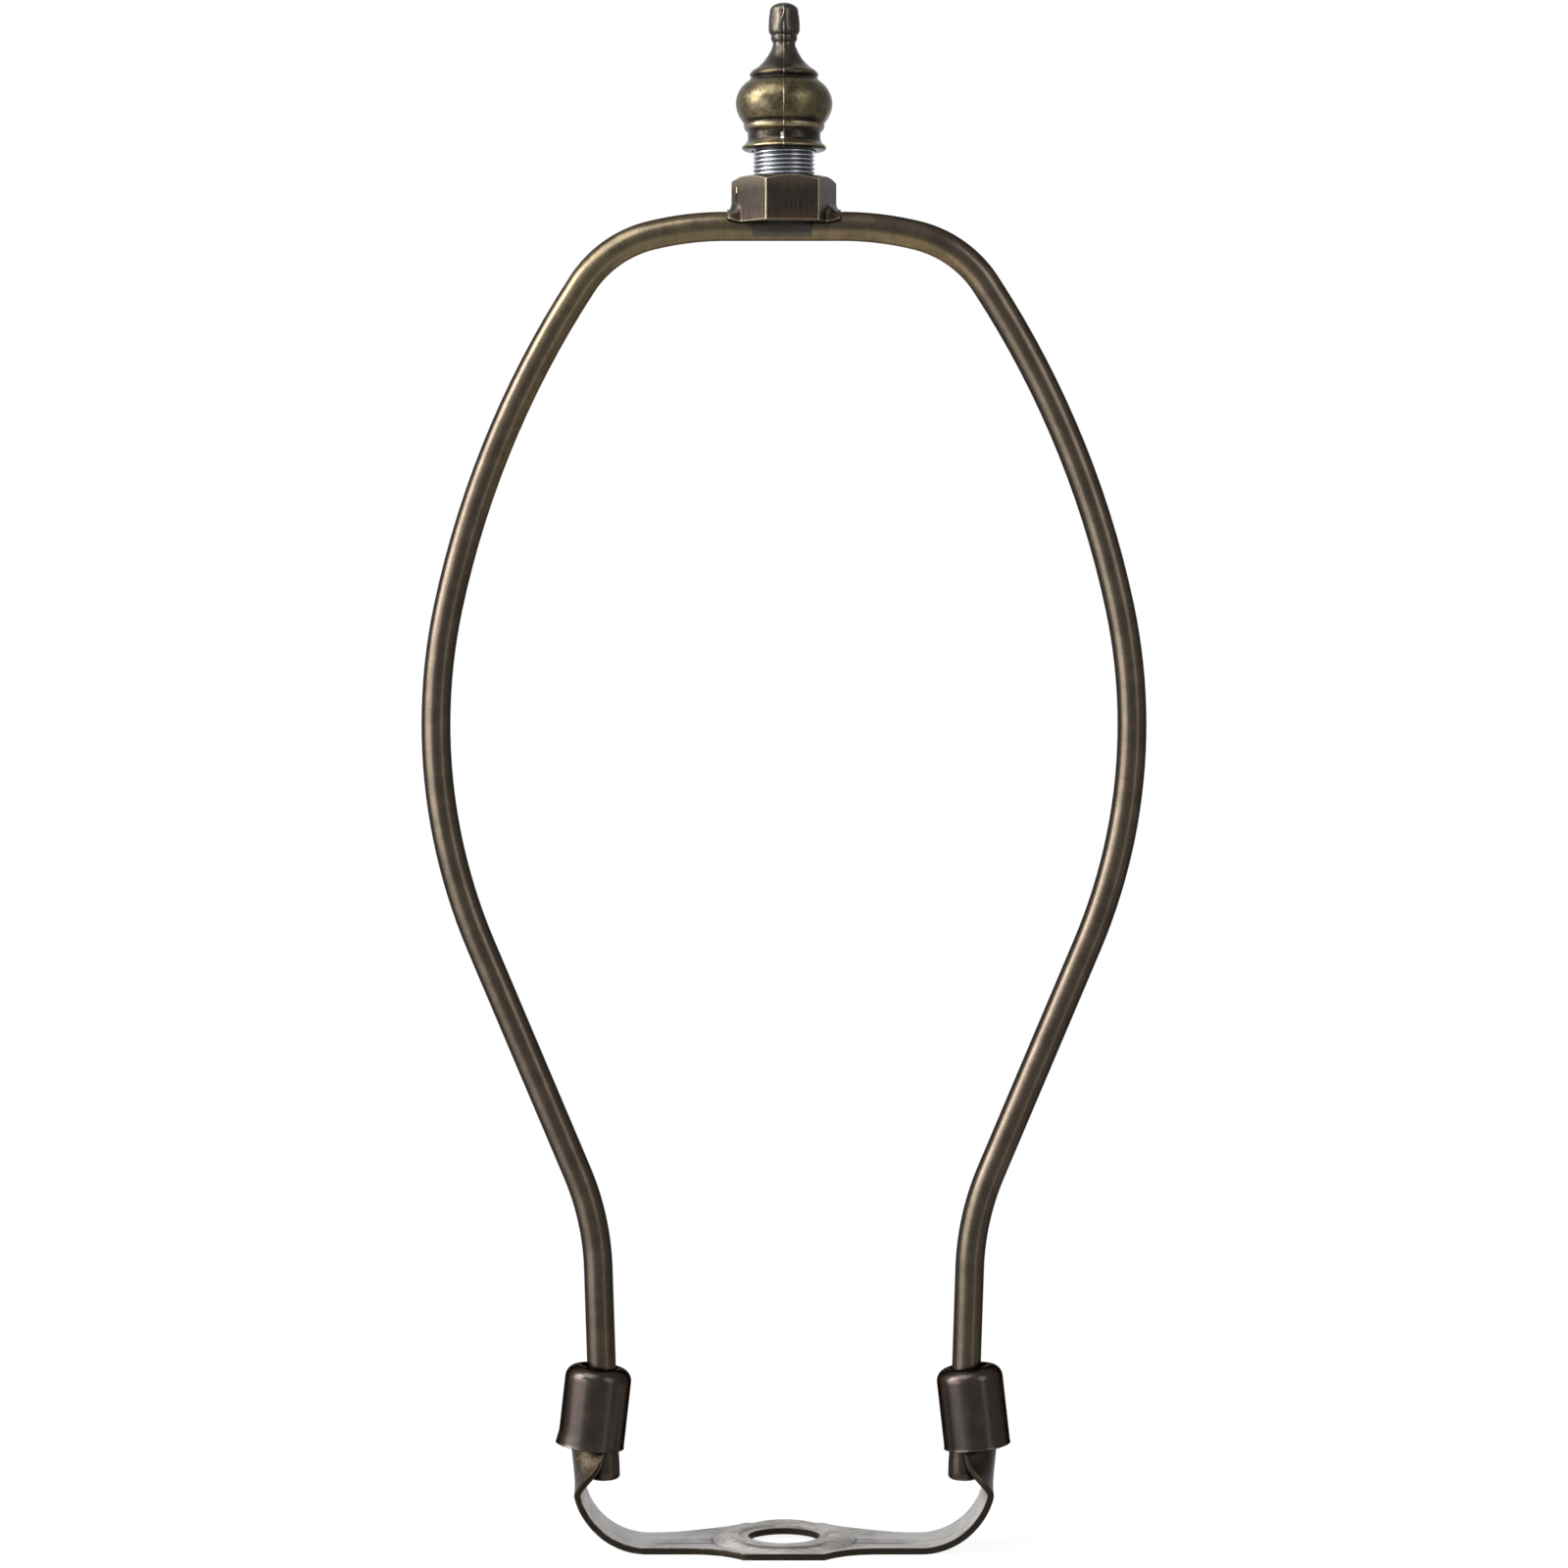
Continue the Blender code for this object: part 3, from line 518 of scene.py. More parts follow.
@dataclass(frozen=True)
class StampedBronze:
    """Thin bronze on the saddle's sheet: satin skins, sheared edges and lines worn along them, with
    painted shade in its stamped creases.
    """

    skin: Colour = (0.430, 0.415, 0.402)
    streak: Colour = (0.205, 0.194, 0.188)
    gutter: Colour = (0.026, 0.021, 0.017)
    sheared: Colour = (0.022, 0.018, 0.014)
    worn: Colour = (0.30, 0.21, 0.10)
    soot: Colour = (0.014, 0.012, 0.010)
    cut_depth: Span = (0.07, 0.17)
    groove_y: float = -2.3
    groove_start: Span = (9.5, 11.0)
    groove_end: Span = (17.0, 21.0)
    gutter_rise: Span = (6.5, 10.0)
    fleck_rise: Span = (9.0, 10.5)
    fleck_end: Span = (-26.0, -22.0)
    gilt_end: Span = (-9.0, -2.0)
    boss_end: Span = (9.0, 11.0)
    streak_depth: float = 0.0012 * MM
    grain_depth: float = 0.0005 * MM

    def material(self) -> bpy.types.Material:
        """Mixes the finish, for a mesh with the attributes "rim", "skin", "crease" and "blank".

        Returns:
            The finish's material.
        """
        tree = FinishTree("saddle_bronze")
        x, y, z = tree.axes(tree.place)
        rim = tree.attribute("rim") * 1000.0
        skin = tree.attribute("skin")
        crease = tree.attribute("crease")
        blank = tree.attribute("blank") * 1000.0
        streak_place = tree.node("ShaderNodeCombineXYZ", {}, {0: blank * 0.22, 1: y * 2.6})
        streaks = tree.noise(streak_place, 1.0, 6.0, 0.65)
        clouds = tree.noise(tree.place, 0.25, 4.0, 0.55)
        grain = tree.noise(tree.place, 8.0, 3.0, 0.6)
        cut = 1.0 - rim.ramp(*self.cut_depth)
        base = tree.mixed(streaks.ramp(0.46, 0.66), self.skin, self.streak)
        base = tree.mixed(0.6 * clouds.ramp(0.48, 0.68), base, self.streak)
        # Painted shade: darker along the stamped creases.
        base = tree.mixed(0.75 * crease, base, self.soot)
        # Painted shade: a dark line along the front foot of each arm's rib.
        rib_shade_line = y.window(self.groove_y, 0.20, 0.20) * abs(x).ramp(*self.groove_start)
        rib_shade_line = rib_shade_line * (1.0 - abs(x).ramp(*self.groove_end))
        base = tree.mixed(0.7 * rib_shade_line * clouds.ramp(0.25, 0.45), base, self.soot)
        base = tree.mixed(z.ramp(*self.gutter_rise), base, self.gutter)
        flecks = grain.ramp(0.56, 0.66) * z.ramp(*self.fleck_rise) * (1.0 - x.ramp(*self.fleck_end))
        base = tree.mixed(0.75 * flecks * clouds.ramp(0.38, 0.54), base, self.worn)
        base = tree.mixed(cut, base, self.sheared)
        gilt = tree.noise(tree.place, 0.6, 5.0, 0.7).ramp(0.42, 0.62)
        left = 1.0 - x.ramp(*self.gilt_end)
        corner = skin.ramp(0.75, 1.0) * cut * left
        base = tree.mixed(0.6 * corner * gilt, base, self.worn)
        low_gilt = cut * (1.0 - skin.ramp(0.0, 0.4)) * gilt
        base = tree.mixed(0.35 * low_gilt * (0.35 + 0.65 * left), base, self.worn)
        boss = 1.0 - (x * x + y * y).root().ramp(*self.boss_end)
        rough = 0.38 + 0.14 * streaks + 0.08 * cut + 0.08 * flecks + 0.14 * boss
        normal = tree.bump(streaks, self.streak_depth)
        normal = tree.bump(grain, self.grain_depth, normal)
        return tree.dress(base_color=base, roughness=rough, metallic=1.0, normal=normal)


@dataclass(frozen=True)
class TurnedBronze:
    """Antique bronze on the hex seat: brushed up and down, with its edges worn to pale gold."""

    dark: Colour = (0.025, 0.020, 0.017)
    brushed: Colour = (0.060, 0.049, 0.037)
    red: Colour = (0.058, 0.036, 0.027)
    worn: Colour = (0.36, 0.30, 0.20)
    soot: Colour = (0.010, 0.008, 0.007)
    rubbed: Colour = (0.098, 0.080, 0.058)
    shaded_end: Span = (-7.6, -4.2)
    rubbed_rise: Span = (200.8, 203.2)
    red_rise: Span = (197.2, 198.6)
    mark_x: float = -6.98
    mark_height: float = 200.2
    glint_height: float = 201.3
    burr_start: Span = (6.6, 7.1)
    burr_height: float = 198.5
    line_depth: float = 0.0012 * MM
    grain_depth: float = 0.0008 * MM

    def material(self) -> bpy.types.Material:
        """Mixes the finish, for a mesh with the attributes "wear" and "round".

        Returns:
            The finish's material.
        """
        tree = FinishTree("hex_bronze")
        x, y, z = tree.axes(tree.place)
        wear = tree.attribute("wear")
        around = tree.attribute("round")
        line_place = tree.node("ShaderNodeCombineXYZ", {}, {0: around * 42.0, 1: z * 0.18})
        lines = tree.noise(line_place, 1.0, 6.0, 0.7)
        clouds = tree.noise(tree.place, 0.4, 4.0, 0.6)
        grain = tree.noise(tree.place, 7.0, 3.0, 0.6)
        base = tree.mixed(lines.ramp(0.38, 0.72), self.dark, self.brushed)
        base = tree.mixed(0.5 * clouds.ramp(0.45, 0.7), base, self.dark)
        base = tree.mixed(0.7 * (1.0 - x.ramp(*self.shaded_end)), base, self.dark)
        # Lighter towards the top of the hex.
        base = tree.mixed(0.6 * z.ramp(*self.rubbed_rise), base, self.rubbed)
        low = 0.7 * (1.0 - z.ramp(*self.red_rise))
        base = tree.mixed(low * clouds.ramp(0.3, 0.6), base, self.red)
        base = tree.mixed(wear * (0.45 + 0.55 * grain.ramp(0.4, 0.6)), base, self.worn)
        front = (0.0 - y).ramp(0.0, 0.5)
        mark = x.window(self.mark_x, 0.09, 0.10) * front
        base = tree.mixed(0.9 * mark * z.window(self.mark_height, 0.45, 0.35), base, self.soot)
        # Painted highlight: a thin glint at the top of the mark.
        glint = x.window(self.mark_x, 0.03, 0.05) * z.window(self.glint_height, 0.35, 0.15)
        base = tree.mixed(glint * front, base, self.worn)
        burr = x.ramp(*self.burr_start) * z.window(self.burr_height, 0.55, 0.3) * grain.ramp(0.4, 0.5)
        base = tree.mixed(0.85 * burr, base, self.soot)
        rough = 0.27 + 0.14 * lines + 0.08 * clouds
        normal = tree.bump(lines, self.line_depth)
        normal = tree.bump(grain, self.grain_depth, normal)
        return tree.dress(base_color=base, roughness=rough, metallic=1.0, normal=normal)


@dataclass(frozen=True)
class ZincPlate:
    """Bright zinc on the threaded stud, with painted shade that darkens the thread roots."""

    bright: Colour = (0.50, 0.51, 0.54)
    root: Colour = (0.07, 0.075, 0.085)
    crest_radius: float = STUD_RADIUS / MM
    root_depth: Span = (-0.36, -0.06)
    grain_depth: float = 0.0015 * MM

    def material(self) -> bpy.types.Material:
        """Mixes the finish.

        Returns:
            The finish's material.
        """
        tree = FinishTree("zinc_plate")
        x, y, _ = tree.axes(tree.place)
        below_crest = (x * x + y * y).root() - self.crest_radius
        grain = tree.noise(tree.stretched(tree.place, (1.0, 1.0, 6.0)), 2.4, 4.0, 0.6)
        # Painted shade: darker down in the thread roots.
        base = tree.mixed(below_crest.ramp(*self.root_depth), self.root, self.bright)
        base = tree.mixed(0.35 * grain.ramp(0.45, 0.7), base, self.root)
        rough = 0.27 + 0.16 * grain
        normal = tree.bump(grain, self.grain_depth)
        return tree.dress(base_color=base, roughness=rough, metallic=1.0, normal=normal)


@dataclass(frozen=True)
class CastBrass:
    """Antique brass on the cast finial: gold where it stands out, dark in its grooves, pitted."""

    gold: Colour = (0.112, 0.090, 0.049)
    bright: Colour = (0.215, 0.180, 0.112)
    brown: Colour = (0.050, 0.040, 0.027)
    dark: Colour = (0.020, 0.017, 0.015)
    grey: Colour = (0.066, 0.058, 0.050)
    nicked: Colour = (0.85, 0.84, 0.82)
    grey_rise: Span = (220.5, 222.0)
    seam_bend_height: float = 227.7
    seam_bend_rise: Span = (225.9, 226.3)
    seam_bright_rise: Span = (225.9, 226.5)
    nick_x: float = -0.30
    nick_height: float = 209.0
    mottle_depth: float = 0.006 * MM
    seam_depth: float = 0.035 * MM
    grain_depth: float = 0.003 * MM

    def material(self) -> bpy.types.Material:
        """Mixes the finish, for a mesh with the attribute "relief".

        Returns:
            The finish's material.
        """
        tree = FinishTree("cast_antique_brass")
        x, y, z = tree.axes(tree.place)
        relief = tree.attribute("relief")
        clouds = tree.noise(tree.place, 0.5, 5.0, 0.62)
        mottle = tree.noise(tree.stretched(tree.place, (1.0, 1.0, 0.6)), 3.0, 5.0, 0.68)
        grain = tree.noise(tree.place, 8.0, 3.0, 0.65)
        rubbed = relief * (0.55 + 0.6 * clouds.ramp(0.35, 0.7))
        base = tree.mixed(rubbed.ramp(0.1, 0.85), self.dark, self.brown)
        base = tree.mixed(rubbed.ramp(0.35, 0.95), base, self.gold)
        base = tree.mixed(0.75 * mottle.ramp(0.52, 0.36), base, self.brown)
        base = tree.mixed(0.55 * mottle.ramp(0.58, 0.72) * rubbed, base, self.bright)
        # Brightest gold on the beads and the base's rim: rubbed to gold, and partly a painted highlight.
        base = tree.mixed(0.85 * relief.ramp(1.02, 1.35), base, self.bright)
        base = tree.mixed(0.6 * z.ramp(*self.grey_rise), base, self.grey)
        pits = grain.ramp(0.66, 0.74)
        base = tree.mixed(0.75 * pits, base, self.dark)
        rise = z - self.seam_bend_height
        crease = x + 0.25 * rise * rise * z.ramp(*self.seam_bend_rise)
        fine = mottle.ramp(0.4, 0.6)
        seam = (1.0 - abs(crease).ramp(0.02, 0.075)) * (0.35 + 0.65 * fine)
        seam = seam * (1.0 + z.ramp(*self.seam_bright_rise))
        base = tree.mixed(0.5 * seam, base, self.bright)
        base = tree.mixed(0.6 * crease.window(0.14, 0.03, 0.08), base, self.dark)
        front = (0.0 - y).ramp(1.0, 2.0)
        nick = x.window(self.nick_x, 0.14, 0.10) * z.window(self.nick_height, 0.40, 0.20)
        base = tree.mixed(nick * grain.ramp(0.42, 0.5) * front, base, self.nicked)
        rough = 0.24 + 0.14 * mottle + 0.10 * pits
        normal = tree.bump(mottle, self.mottle_depth)
        normal = tree.bump(1.0 - abs(crease).ramp(0.0, 0.09), self.seam_depth, normal)
        normal = tree.bump(grain, self.grain_depth, normal)
        return tree.dress(base_color=base, roughness=rough, metallic=1.0, normal=normal)


# The bow

@dataclass
class RingSweep:
    """A ring of edges that is extruded and spun along a path in the XZ plane."""

    bm: bmesh.types.BMesh
    ring: list[bmesh.types.BMEdge]
    x: float
    z: float
    heading: float
    along: float = 0.0

    def _mark(self) -> None:
        """Gives the ring's vertices their distance along the path."""
        layer = self.bm.verts.layers.float["along"]
        for vert in {vert for edge in self.ring for vert in edge.verts}:
            vert[layer] = self.along

    def straight(self, length: float, grow: float = 1.0, steps: int = 1) -> None:
        """Extrudes the ring straight on.

        Args:
            length: How far.
            grow: How much wider it gets on the way.
            steps: The rings along it.
        """
        for _ in range(steps):
            made = bmesh.ops.extrude_edge_only(self.bm, edges=self.ring)["geom"]
            verts = [item for item in made if isinstance(item, bmesh.types.BMVert)]
            self.ring = [item for item in made if isinstance(item, bmesh.types.BMEdge)]
            step = length / steps
            ahead = Vector((math.sin(self.heading), 0.0, math.cos(self.heading)))
            bmesh.ops.translate(self.bm, verts=verts, vec=ahead * step)
            self.x += ahead.x * step
            self.z += ahead.z * step
            self.along += step
            centre = Matrix.Translation((self.x, 0.0, self.z))
            bmesh.ops.scale(self.bm, verts=verts, vec=(grow,) * 3, space=centre.inverted())
            self._mark()

    def arc(self, radius: float, turn: float, step: float) -> None:
        """Spins the ring along an arc.

        Args:
            radius: The arc's radius.
            turn: How far the heading turns, towards +X when it is positive.
            step: The largest turn of one step.
        """
        steps = max(2, math.ceil(abs(turn) / step))
        side = math.copysign(radius, turn)
        centre = Vector((
            self.x + side * math.cos(self.heading), 0.0, self.z - side * math.sin(self.heading)))
        for _ in range(steps):
            verts = list({vert for edge in self.ring for vert in edge.verts})
            made = bmesh.ops.spin(
                self.bm, geom=[*verts, *self.ring], cent=centre, axis=(0.0, 1.0, 0.0),
                angle=turn / steps, steps=1,
            )["geom_last"]
            self.ring = [item for item in made if isinstance(item, bmesh.types.BMEdge)]
            self.along += radius * abs(turn) / steps
            self._mark()
        self.heading += turn
        self.x = centre.x - side * math.cos(self.heading)
        self.z = centre.z + side * math.sin(self.heading)


@dataclass
class WireBow:
    """The bent wire, from each foot up a leg and a side to the level crown."""

    radius: float = WIRE_RADIUS
    foot_x: float = FOOT_X
    foot_height: float = FOOT_HEIGHT
    leg_lean: float = LEG_LEAN
    leg_length: float = 31.6 * MM
    lower_bend: tuple[float, float] = (40.2 * MM, math.radians(21.0))
    side_run: float = 36.7 * MM
    side_bend: tuple[float, float] = (84.0 * MM, math.radians(-34.9))
    upper_bend: tuple[float, float] = (140.3 * MM, math.radians(-21.2))
    shoulder_bend: tuple[float, float] = (16.9 * MM, math.radians(-43.0))
    crown_radius: float = 46.9 * MM
    foot_chamfer: float = 0.45 * MM
    foot_swell: float = 0.065 * MM
    foot_swell_length: float = 2.6 * MM
    flat_half_length: float = 4.25 * MM
    flat_depth: float = 0.25 * MM
    flat_run_out: float = 0.25 * MM
    bend_step: float = math.radians(1.5)
    crown_step: float = math.radians(0.35)
    mirror_gap: float = 0.01 * MM
    sides: int = 56

    def build(self, finish: BrushedBronze) -> float:
        """Makes the wire.

        Args:
            finish: Its finish.

        Returns:
            The height of the crown's centreline.
        """
        bm = bmesh.new()
        bm.verts.layers.float.new("along")
        start = Matrix.Translation((self.foot_x, 0.0, self.foot_height))
        start = start @ Matrix.Rotation(self.leg_lean, 4, "Y")
        end_radius = self.radius - self.foot_chamfer
        bmesh.ops.create_circle(
            bm, cap_ends=True, segments=self.sides, radius=end_radius, matrix=start)
        sweep = RingSweep(bm, list(bm.edges), self.foot_x, self.foot_height, self.leg_lean)
        swollen = self.radius + self.foot_swell
        rounding = (swollen / end_radius) ** (1.0 / 3.0)
        for share in (0.12, 0.28, 0.60):
            sweep.straight(share * self.foot_chamfer, rounding)
        sweep.straight(self.foot_swell_length - self.foot_chamfer, steps=3)
        sweep.straight(0.6 * self.foot_swell_length, (self.radius / swollen) ** 0.25, steps=4)
        sweep.straight(self.leg_length - 1.6 * self.foot_swell_length, steps=12)
        sweep.arc(*self.lower_bend, self.bend_step)
        sweep.straight(self.side_run, steps=16)
        for bend in (self.side_bend, self.upper_bend, self.shoulder_bend):
            sweep.arc(*bend, self.bend_step)
        sweep.arc(self.crown_radius, -(math.pi / 2 + sweep.heading), self.crown_step)
        sweep.straight(sweep.x, steps=4)
        crown = sweep.z
        self._press(bm, crown)
        bmesh.ops.mirror(
            bm, geom=[*bm.verts, *bm.edges, *bm.faces], matrix=Matrix.Identity(4),
            merge_dist=self.mirror_gap, axis="X",
        )
        tidy(bm)
        bm.normal_update()
        under = bm.verts.layers.float.new("under")
        for vert in bm.verts:
            vert[under] = max(0.0, -vert.normal.z)
        piece("wire_bow", bm, finish.material(), "harp_wire", "root")
        return crown

    def _press(self, bm: bmesh.types.BMesh, crown: float) -> None:
        """Presses the front of the crown flat under the hex seat.

        Args:
            bm: The wire's mesh.
            crown: The height of the crown's centreline.
        """
        start = self.flat_half_length - self.flat_run_out
        for vert in bm.verts:
            if vert.co.z > crown - 2 * self.radius:
                window = 1.0 - smooth(start, self.flat_half_length, vert.co.x)
                vert.co.y = max(vert.co.y, self.flat_depth * window - self.radius)


# The saddle

# How dark the painted crease shade is at the points of the boss section along the step up from its ledge
STEP_CREASE_SHADE = {4: 0.35, 5: 1.0, 6: 1.0, 7: 0.35}


@dataclass
class Saddle:
    """The stamped saddle: a plate with a boss round its hole, and two arms curled into gutters."""

    sheet: float = 0.94 * MM
    hole_radius: float = 5.25 * MM
    plate_rim: float = 4.35 * MM
    plate_corner: float = 0.75 * MM
    plate_fillet: float = 9.5 * MM
    arm_half_width: float = 5.6 * MM
    bend_radius: float = 11.0 * MM
    arm_turn: float = math.radians(84.0)
    gutter_radius: float = 3.85 * MM
    gutter_wrap: float = math.radians(109.0)
    gutter_backset: float = 0.95 * MM
    mouth_offset: float = MOUTH_OFFSET
    wire_at_mouth: float = MOUTH_X
    mouth_height: float = MOUTH_HEIGHT
    tip_height: float = 19.2 * MM
    curl_start: float = 8.7 * MM
    curl_end: float = 15.6 * MM
    widen_start: float = 3.0 * MM
    widen_length: float = 9.0 * MM
    rib_height: float = 0.35 * MM
    rib_half_width: float = 2.6 * MM
    rib_fade: float = 5.0 * MM
    ledge_height: float = 0.7 * MM
    ledge_width: float = 1.65 * MM
    step_width: float = 0.35 * MM
    crest_height: float = 1.1 * MM
    crest_front_drop: float = 0.40 * MM
    crest_back_drop: float = 0.10 * MM
    back_lift: float = 0.60 * MM
    lift_start: float = 9.0 * MM
    lift_end: float = 19.0 * MM
    crest_width: float = 0.8 * MM
    crest_front_width: float = 0.5 * MM
    boss_margin: float = 0.7 * MM
    boss_point: float = 5.15 * MM
    edge_rounding: float = 0.07 * MM
    front_span: Span = (0.35, 0.85)
    seam_gap: float = 0.005 * MM
    across: int = 40
    along_arm: int = 96
    along_edge: int = 60
    slope_steps: int = 12
    margin_steps: int = 8

    def __post_init__(self) -> None:
        """Works out the lengths that follow from the sizes."""
        self.plate_half_depth = self.hole_radius + self.plate_rim
        self.corner_x = self.hole_radius + self.plate_corner
        self.end_x = self.corner_x + self.plate_fillet
        self.bend_top = self.bend_radius * (1.0 - math.cos(self.arm_turn))
        self.bend_length = self.bend_radius * self.arm_turn
        back = self.wire_at_mouth + self.mouth_offset - self.gutter_backset + self.gutter_radius
        lean = math.pi / 2 - self.arm_turn
        back -= (self.mouth_height - self.bend_top) * math.tan(lean)
        self.flat_end = back - self.bend_radius * math.sin(self.arm_turn)
        rise = (self.tip_height - self.bend_top) / math.cos(lean)
        self.arm_length = self.flat_end + self.bend_length + rise
        self.gutter_half_width = self.gutter_radius * self.gutter_wrap
        self.around = 2 * (self.across + self.along_edge)

    def on_sheet(self, along: float, across: float, raised: float, side: float) -> Vector:
        """A point of the underside.

        Args:
            along: Its distance from the middle on the flat blank.
            across: Its distance from the blank's centre line.
            raised: How far it is stamped up.
            side: 1 on the right arm, -1 on the left.

        Returns:
            The point on the bent sheet.
        """
        turn = min(max(along - self.flat_end, 0.0) / self.bend_radius, self.arm_turn)
        beyond = max(along - self.flat_end - self.bend_length, 0.0)
        x = min(along, self.flat_end) + self.bend_radius * math.sin(turn) + beyond * math.cos(turn)
        z = self.bend_radius * (1.0 - math.cos(turn)) + beyond * math.sin(turn)
        return Vector((side * (x - raised * math.sin(turn)), across, z + raised * math.cos(turn)))

    def rib(self, across: float, along: float) -> float:
        """The stamped rib's height on an arm, dying out along the bend.

        Args:
            across: The distance from the blank's centre line.
            along: The distance from the middle on the flat blank.

        Returns:
            The height.
        """
        if abs(across) >= self.rib_half_width:
            return 0.0
        fade = 1.0 - smooth(self.end_x, self.flat_end + self.rib_fade, along)
        return self.rib_height * fade * math.cos(math.pi / 2 * across / self.rib_half_width) ** 2

    def lift(self, x: float, share: float) -> float:
        """How far the stamping has drawn up the back edge, at a share of the half depth."""
        near = 1.0 - smooth(self.lift_start, self.lift_end, abs(x))
        return self.back_lift * near * smooth(0.5, 1.0, share)

    def arm_point(
        self, along_share: float, across_share: float, side: float,
    ) -> tuple[Vector, float, float]:
        """A point of one arm's underside, curled into the gutter round the wire's foot.

        Args:
            along_share: Its share of the way from the plate to the tip.
            across_share: Its share of the half width, from -1 to 1.
            side: 1 on the right arm, -1 on the left.

        Returns:
            The point, its distance from the cut edge and its distance along the blank.
        """
        along = self.end_x + (self.arm_length - self.end_x) * along_share
        height = self.on_sheet(along, 0.0, 0.0, side).z
        widened = smooth(self.widen_start, self.widen_start + self.widen_length, height)
        half = self.arm_half_width + (self.gutter_half_width - self.arm_half_width) * widened
        across = across_share * half
        rim = min(half - abs(across), self.arm_length - along)
        curl = smooth(self.curl_start, self.curl_end, height) / self.gutter_radius
        if curl == 0.0:
            raised = self.rib(across, along) + self.lift(along, across_share)
            return self.on_sheet(along, across, raised, side), rim, along
        inward = (1.0 - math.cos(across * curl)) / curl
        raised = inward + self.rib(across, along)
        return self.on_sheet(along, math.sin(across * curl) / curl, raised, side), rim, along

    def plate_edge(self, x: float) -> float:
        """The plate's half depth at x: a straight front edge, then a hollow fillet to the arm."""
        beyond = max(abs(x) - self.corner_x, 0.0) / (self.end_x - self.corner_x)
        return self.arm_half_width + (self.plate_half_depth - self.arm_half_width) * (1.0 - beyond) ** 3

    def outline(self, index: int) -> Point:
        """The plate's outline point at a step round, counter-clockwise from the right arm.

        Args:
            index: The step round.

        Returns:
            Its x and y.
        """
        side = 1 if index < self.around // 2 else -1
        step = index % (self.around // 2)
        if step < self.across:
            return side * self.end_x, side * self.arm_half_width * (2.0 * step / self.across - 1.0)
        step -= self.across
        corner = self.along_edge // 3
        if step < corner:
            share = 1.0 - (1.0 - step / corner) ** 1.5
            x = self.end_x - share * (self.end_x - self.corner_x)
        elif step <= 2 * corner:
            x = self.corner_x * (1.0 - 2.0 * (step - corner) / corner)
        else:
            share = ((step - 2 * corner) / corner) ** 1.5
            x = -self.corner_x - share * (self.end_x - self.corner_x)
        return side * x, side * self.plate_edge(x)

    def boss_section(self, front: float, back: float) -> list[Point]:
        """(radius, height) of the boss from the hole's edge over its ledge and step to its crest.

        Args:
            front: How far round to the front, from 0 to 1: the crest is low and wide there.
            back: How far round to the back, from 0 to 1: the whole edge is drawn up there.

        Returns:
            The section's points.
        """
        crest_height = self.crest_height - self.crest_front_drop * front - self.crest_back_drop * back
        crest_width = self.crest_width + (self.crest_front_width - self.crest_width) * front
        ledge = self.hole_radius + self.ledge_width
        step = ledge + self.step_width
        section = [(self.hole_radius + share * self.ledge_width, self.ledge_height)
                   for share in (0.0, 0.2, 0.5, 0.8, 1.0)]
        for share in (0.25, 0.5, 0.75, 1.0):
            rise = (crest_height - self.ledge_height) * smooth(0.0, 1.0, share)
            section.append((ledge + share * self.step_width, self.ledge_height + rise))
        section += [(step + share * crest_width, crest_height) for share in (0.3, 0.65, 1.0)]
        return section

    def spoke(self, index: int) -> list[tuple[Vector, float, float]]:
        """The plate's points from the hole's edge to the outline at a step round.

        Args:
            index: The step round.

        Returns:
            Points on the blank, with their distance from the cut edge and their share of the painted
            crease shade.
        """
        angle = math.pi * (2.0 * index - self.across) / self.around
        ray = Vector((math.cos(angle), math.sin(angle)))
        front, back = smooth(*self.front_span, -ray.y), smooth(*self.front_span, ray.y)
        section = self.boss_section(front, back)
        crest, crest_height = section[-1]
        foot = self.plate_half_depth - self.boss_margin * (1.0 - 0.6 * front)
        foot += (self.hole_radius + self.boss_point - foot) * abs(ray.x) ** 4
        edge = Vector(self.outline(index))
        points = []
        for order, (radius, height) in enumerate(section):
            line = front if order == len(section) - 1 else STEP_CREASE_SHADE.get(order, 0.0)
            points.append((Vector((*(ray * radius), height)), line))
        for step in range(1, self.slope_steps + 1):
            share = step / self.slope_steps
            flat = ray * (crest + (foot - crest) * share)
            eased = share ** (1.5 - 0.5 * front)
            ground = self.rib(flat.y, 0.0)
            height = ground + (crest_height - ground) * (1.0 - eased)
            line = (1.0 - front) * smooth(0.86, 1.0, share) + front * (1.0 - smooth(0.0, 0.3, share))
            points.append((Vector((*flat, height)), line))
        base = ray * foot
        inner, outer = base.y / self.plate_edge(base.x), edge.y / self.plate_edge(edge.x)
        for step in range(1, self.margin_steps + 1):
            share = 1.0 - (1.0 - step / self.margin_steps) ** 1.3
            x = base.x + (edge.x - base.x) * share
            flat = Vector((x, (inner + (outer - inner) * share) * self.plate_edge(x)))
            line = (1.0 - front) * (1.0 - smooth(0.0, 0.12, share))
            points.append((Vector((*flat, self.rib(flat.y, 0.0))), line))
        spoke = []
        for point, line in points:
            to_hole = math.hypot(point.x, point.y) - self.hole_radius
            point.z += self.lift(point.x, point.y / self.plate_edge(point.x))
            spoke.append((point, min(to_hole, self.plate_edge(point.x) - abs(point.y)), line))
        return spoke

    def build(self, finish: StampedBronze) -> None:
        """Makes the saddle.

        Args:
            finish: Its finish.
        """
        bm = bmesh.new()
        for name in ("rim", "skin", "crease", "blank"):
            bm.verts.layers.float.new(name)
        spokes = [self.spoke(index) for index in range(self.around)]
        last = len(spokes[0]) - 1

        def plate(column: float, row: float) -> tuple[Vector, float, float, float]:
            """The plate's values at a corner of its grid.

            Args:
                column: The share of the way from the hole to the outline.
                row: The share of the way round.

            Returns:
                The place, edge distance, crease and blank distance.
            """
            point, rim, line = spokes[round(row * self.around) % self.around][round(column * last)]
            side = math.copysign(1.0, point.x)
            return self.on_sheet(abs(point.x), point.y, point.z, side), rim, line, abs(point.x)

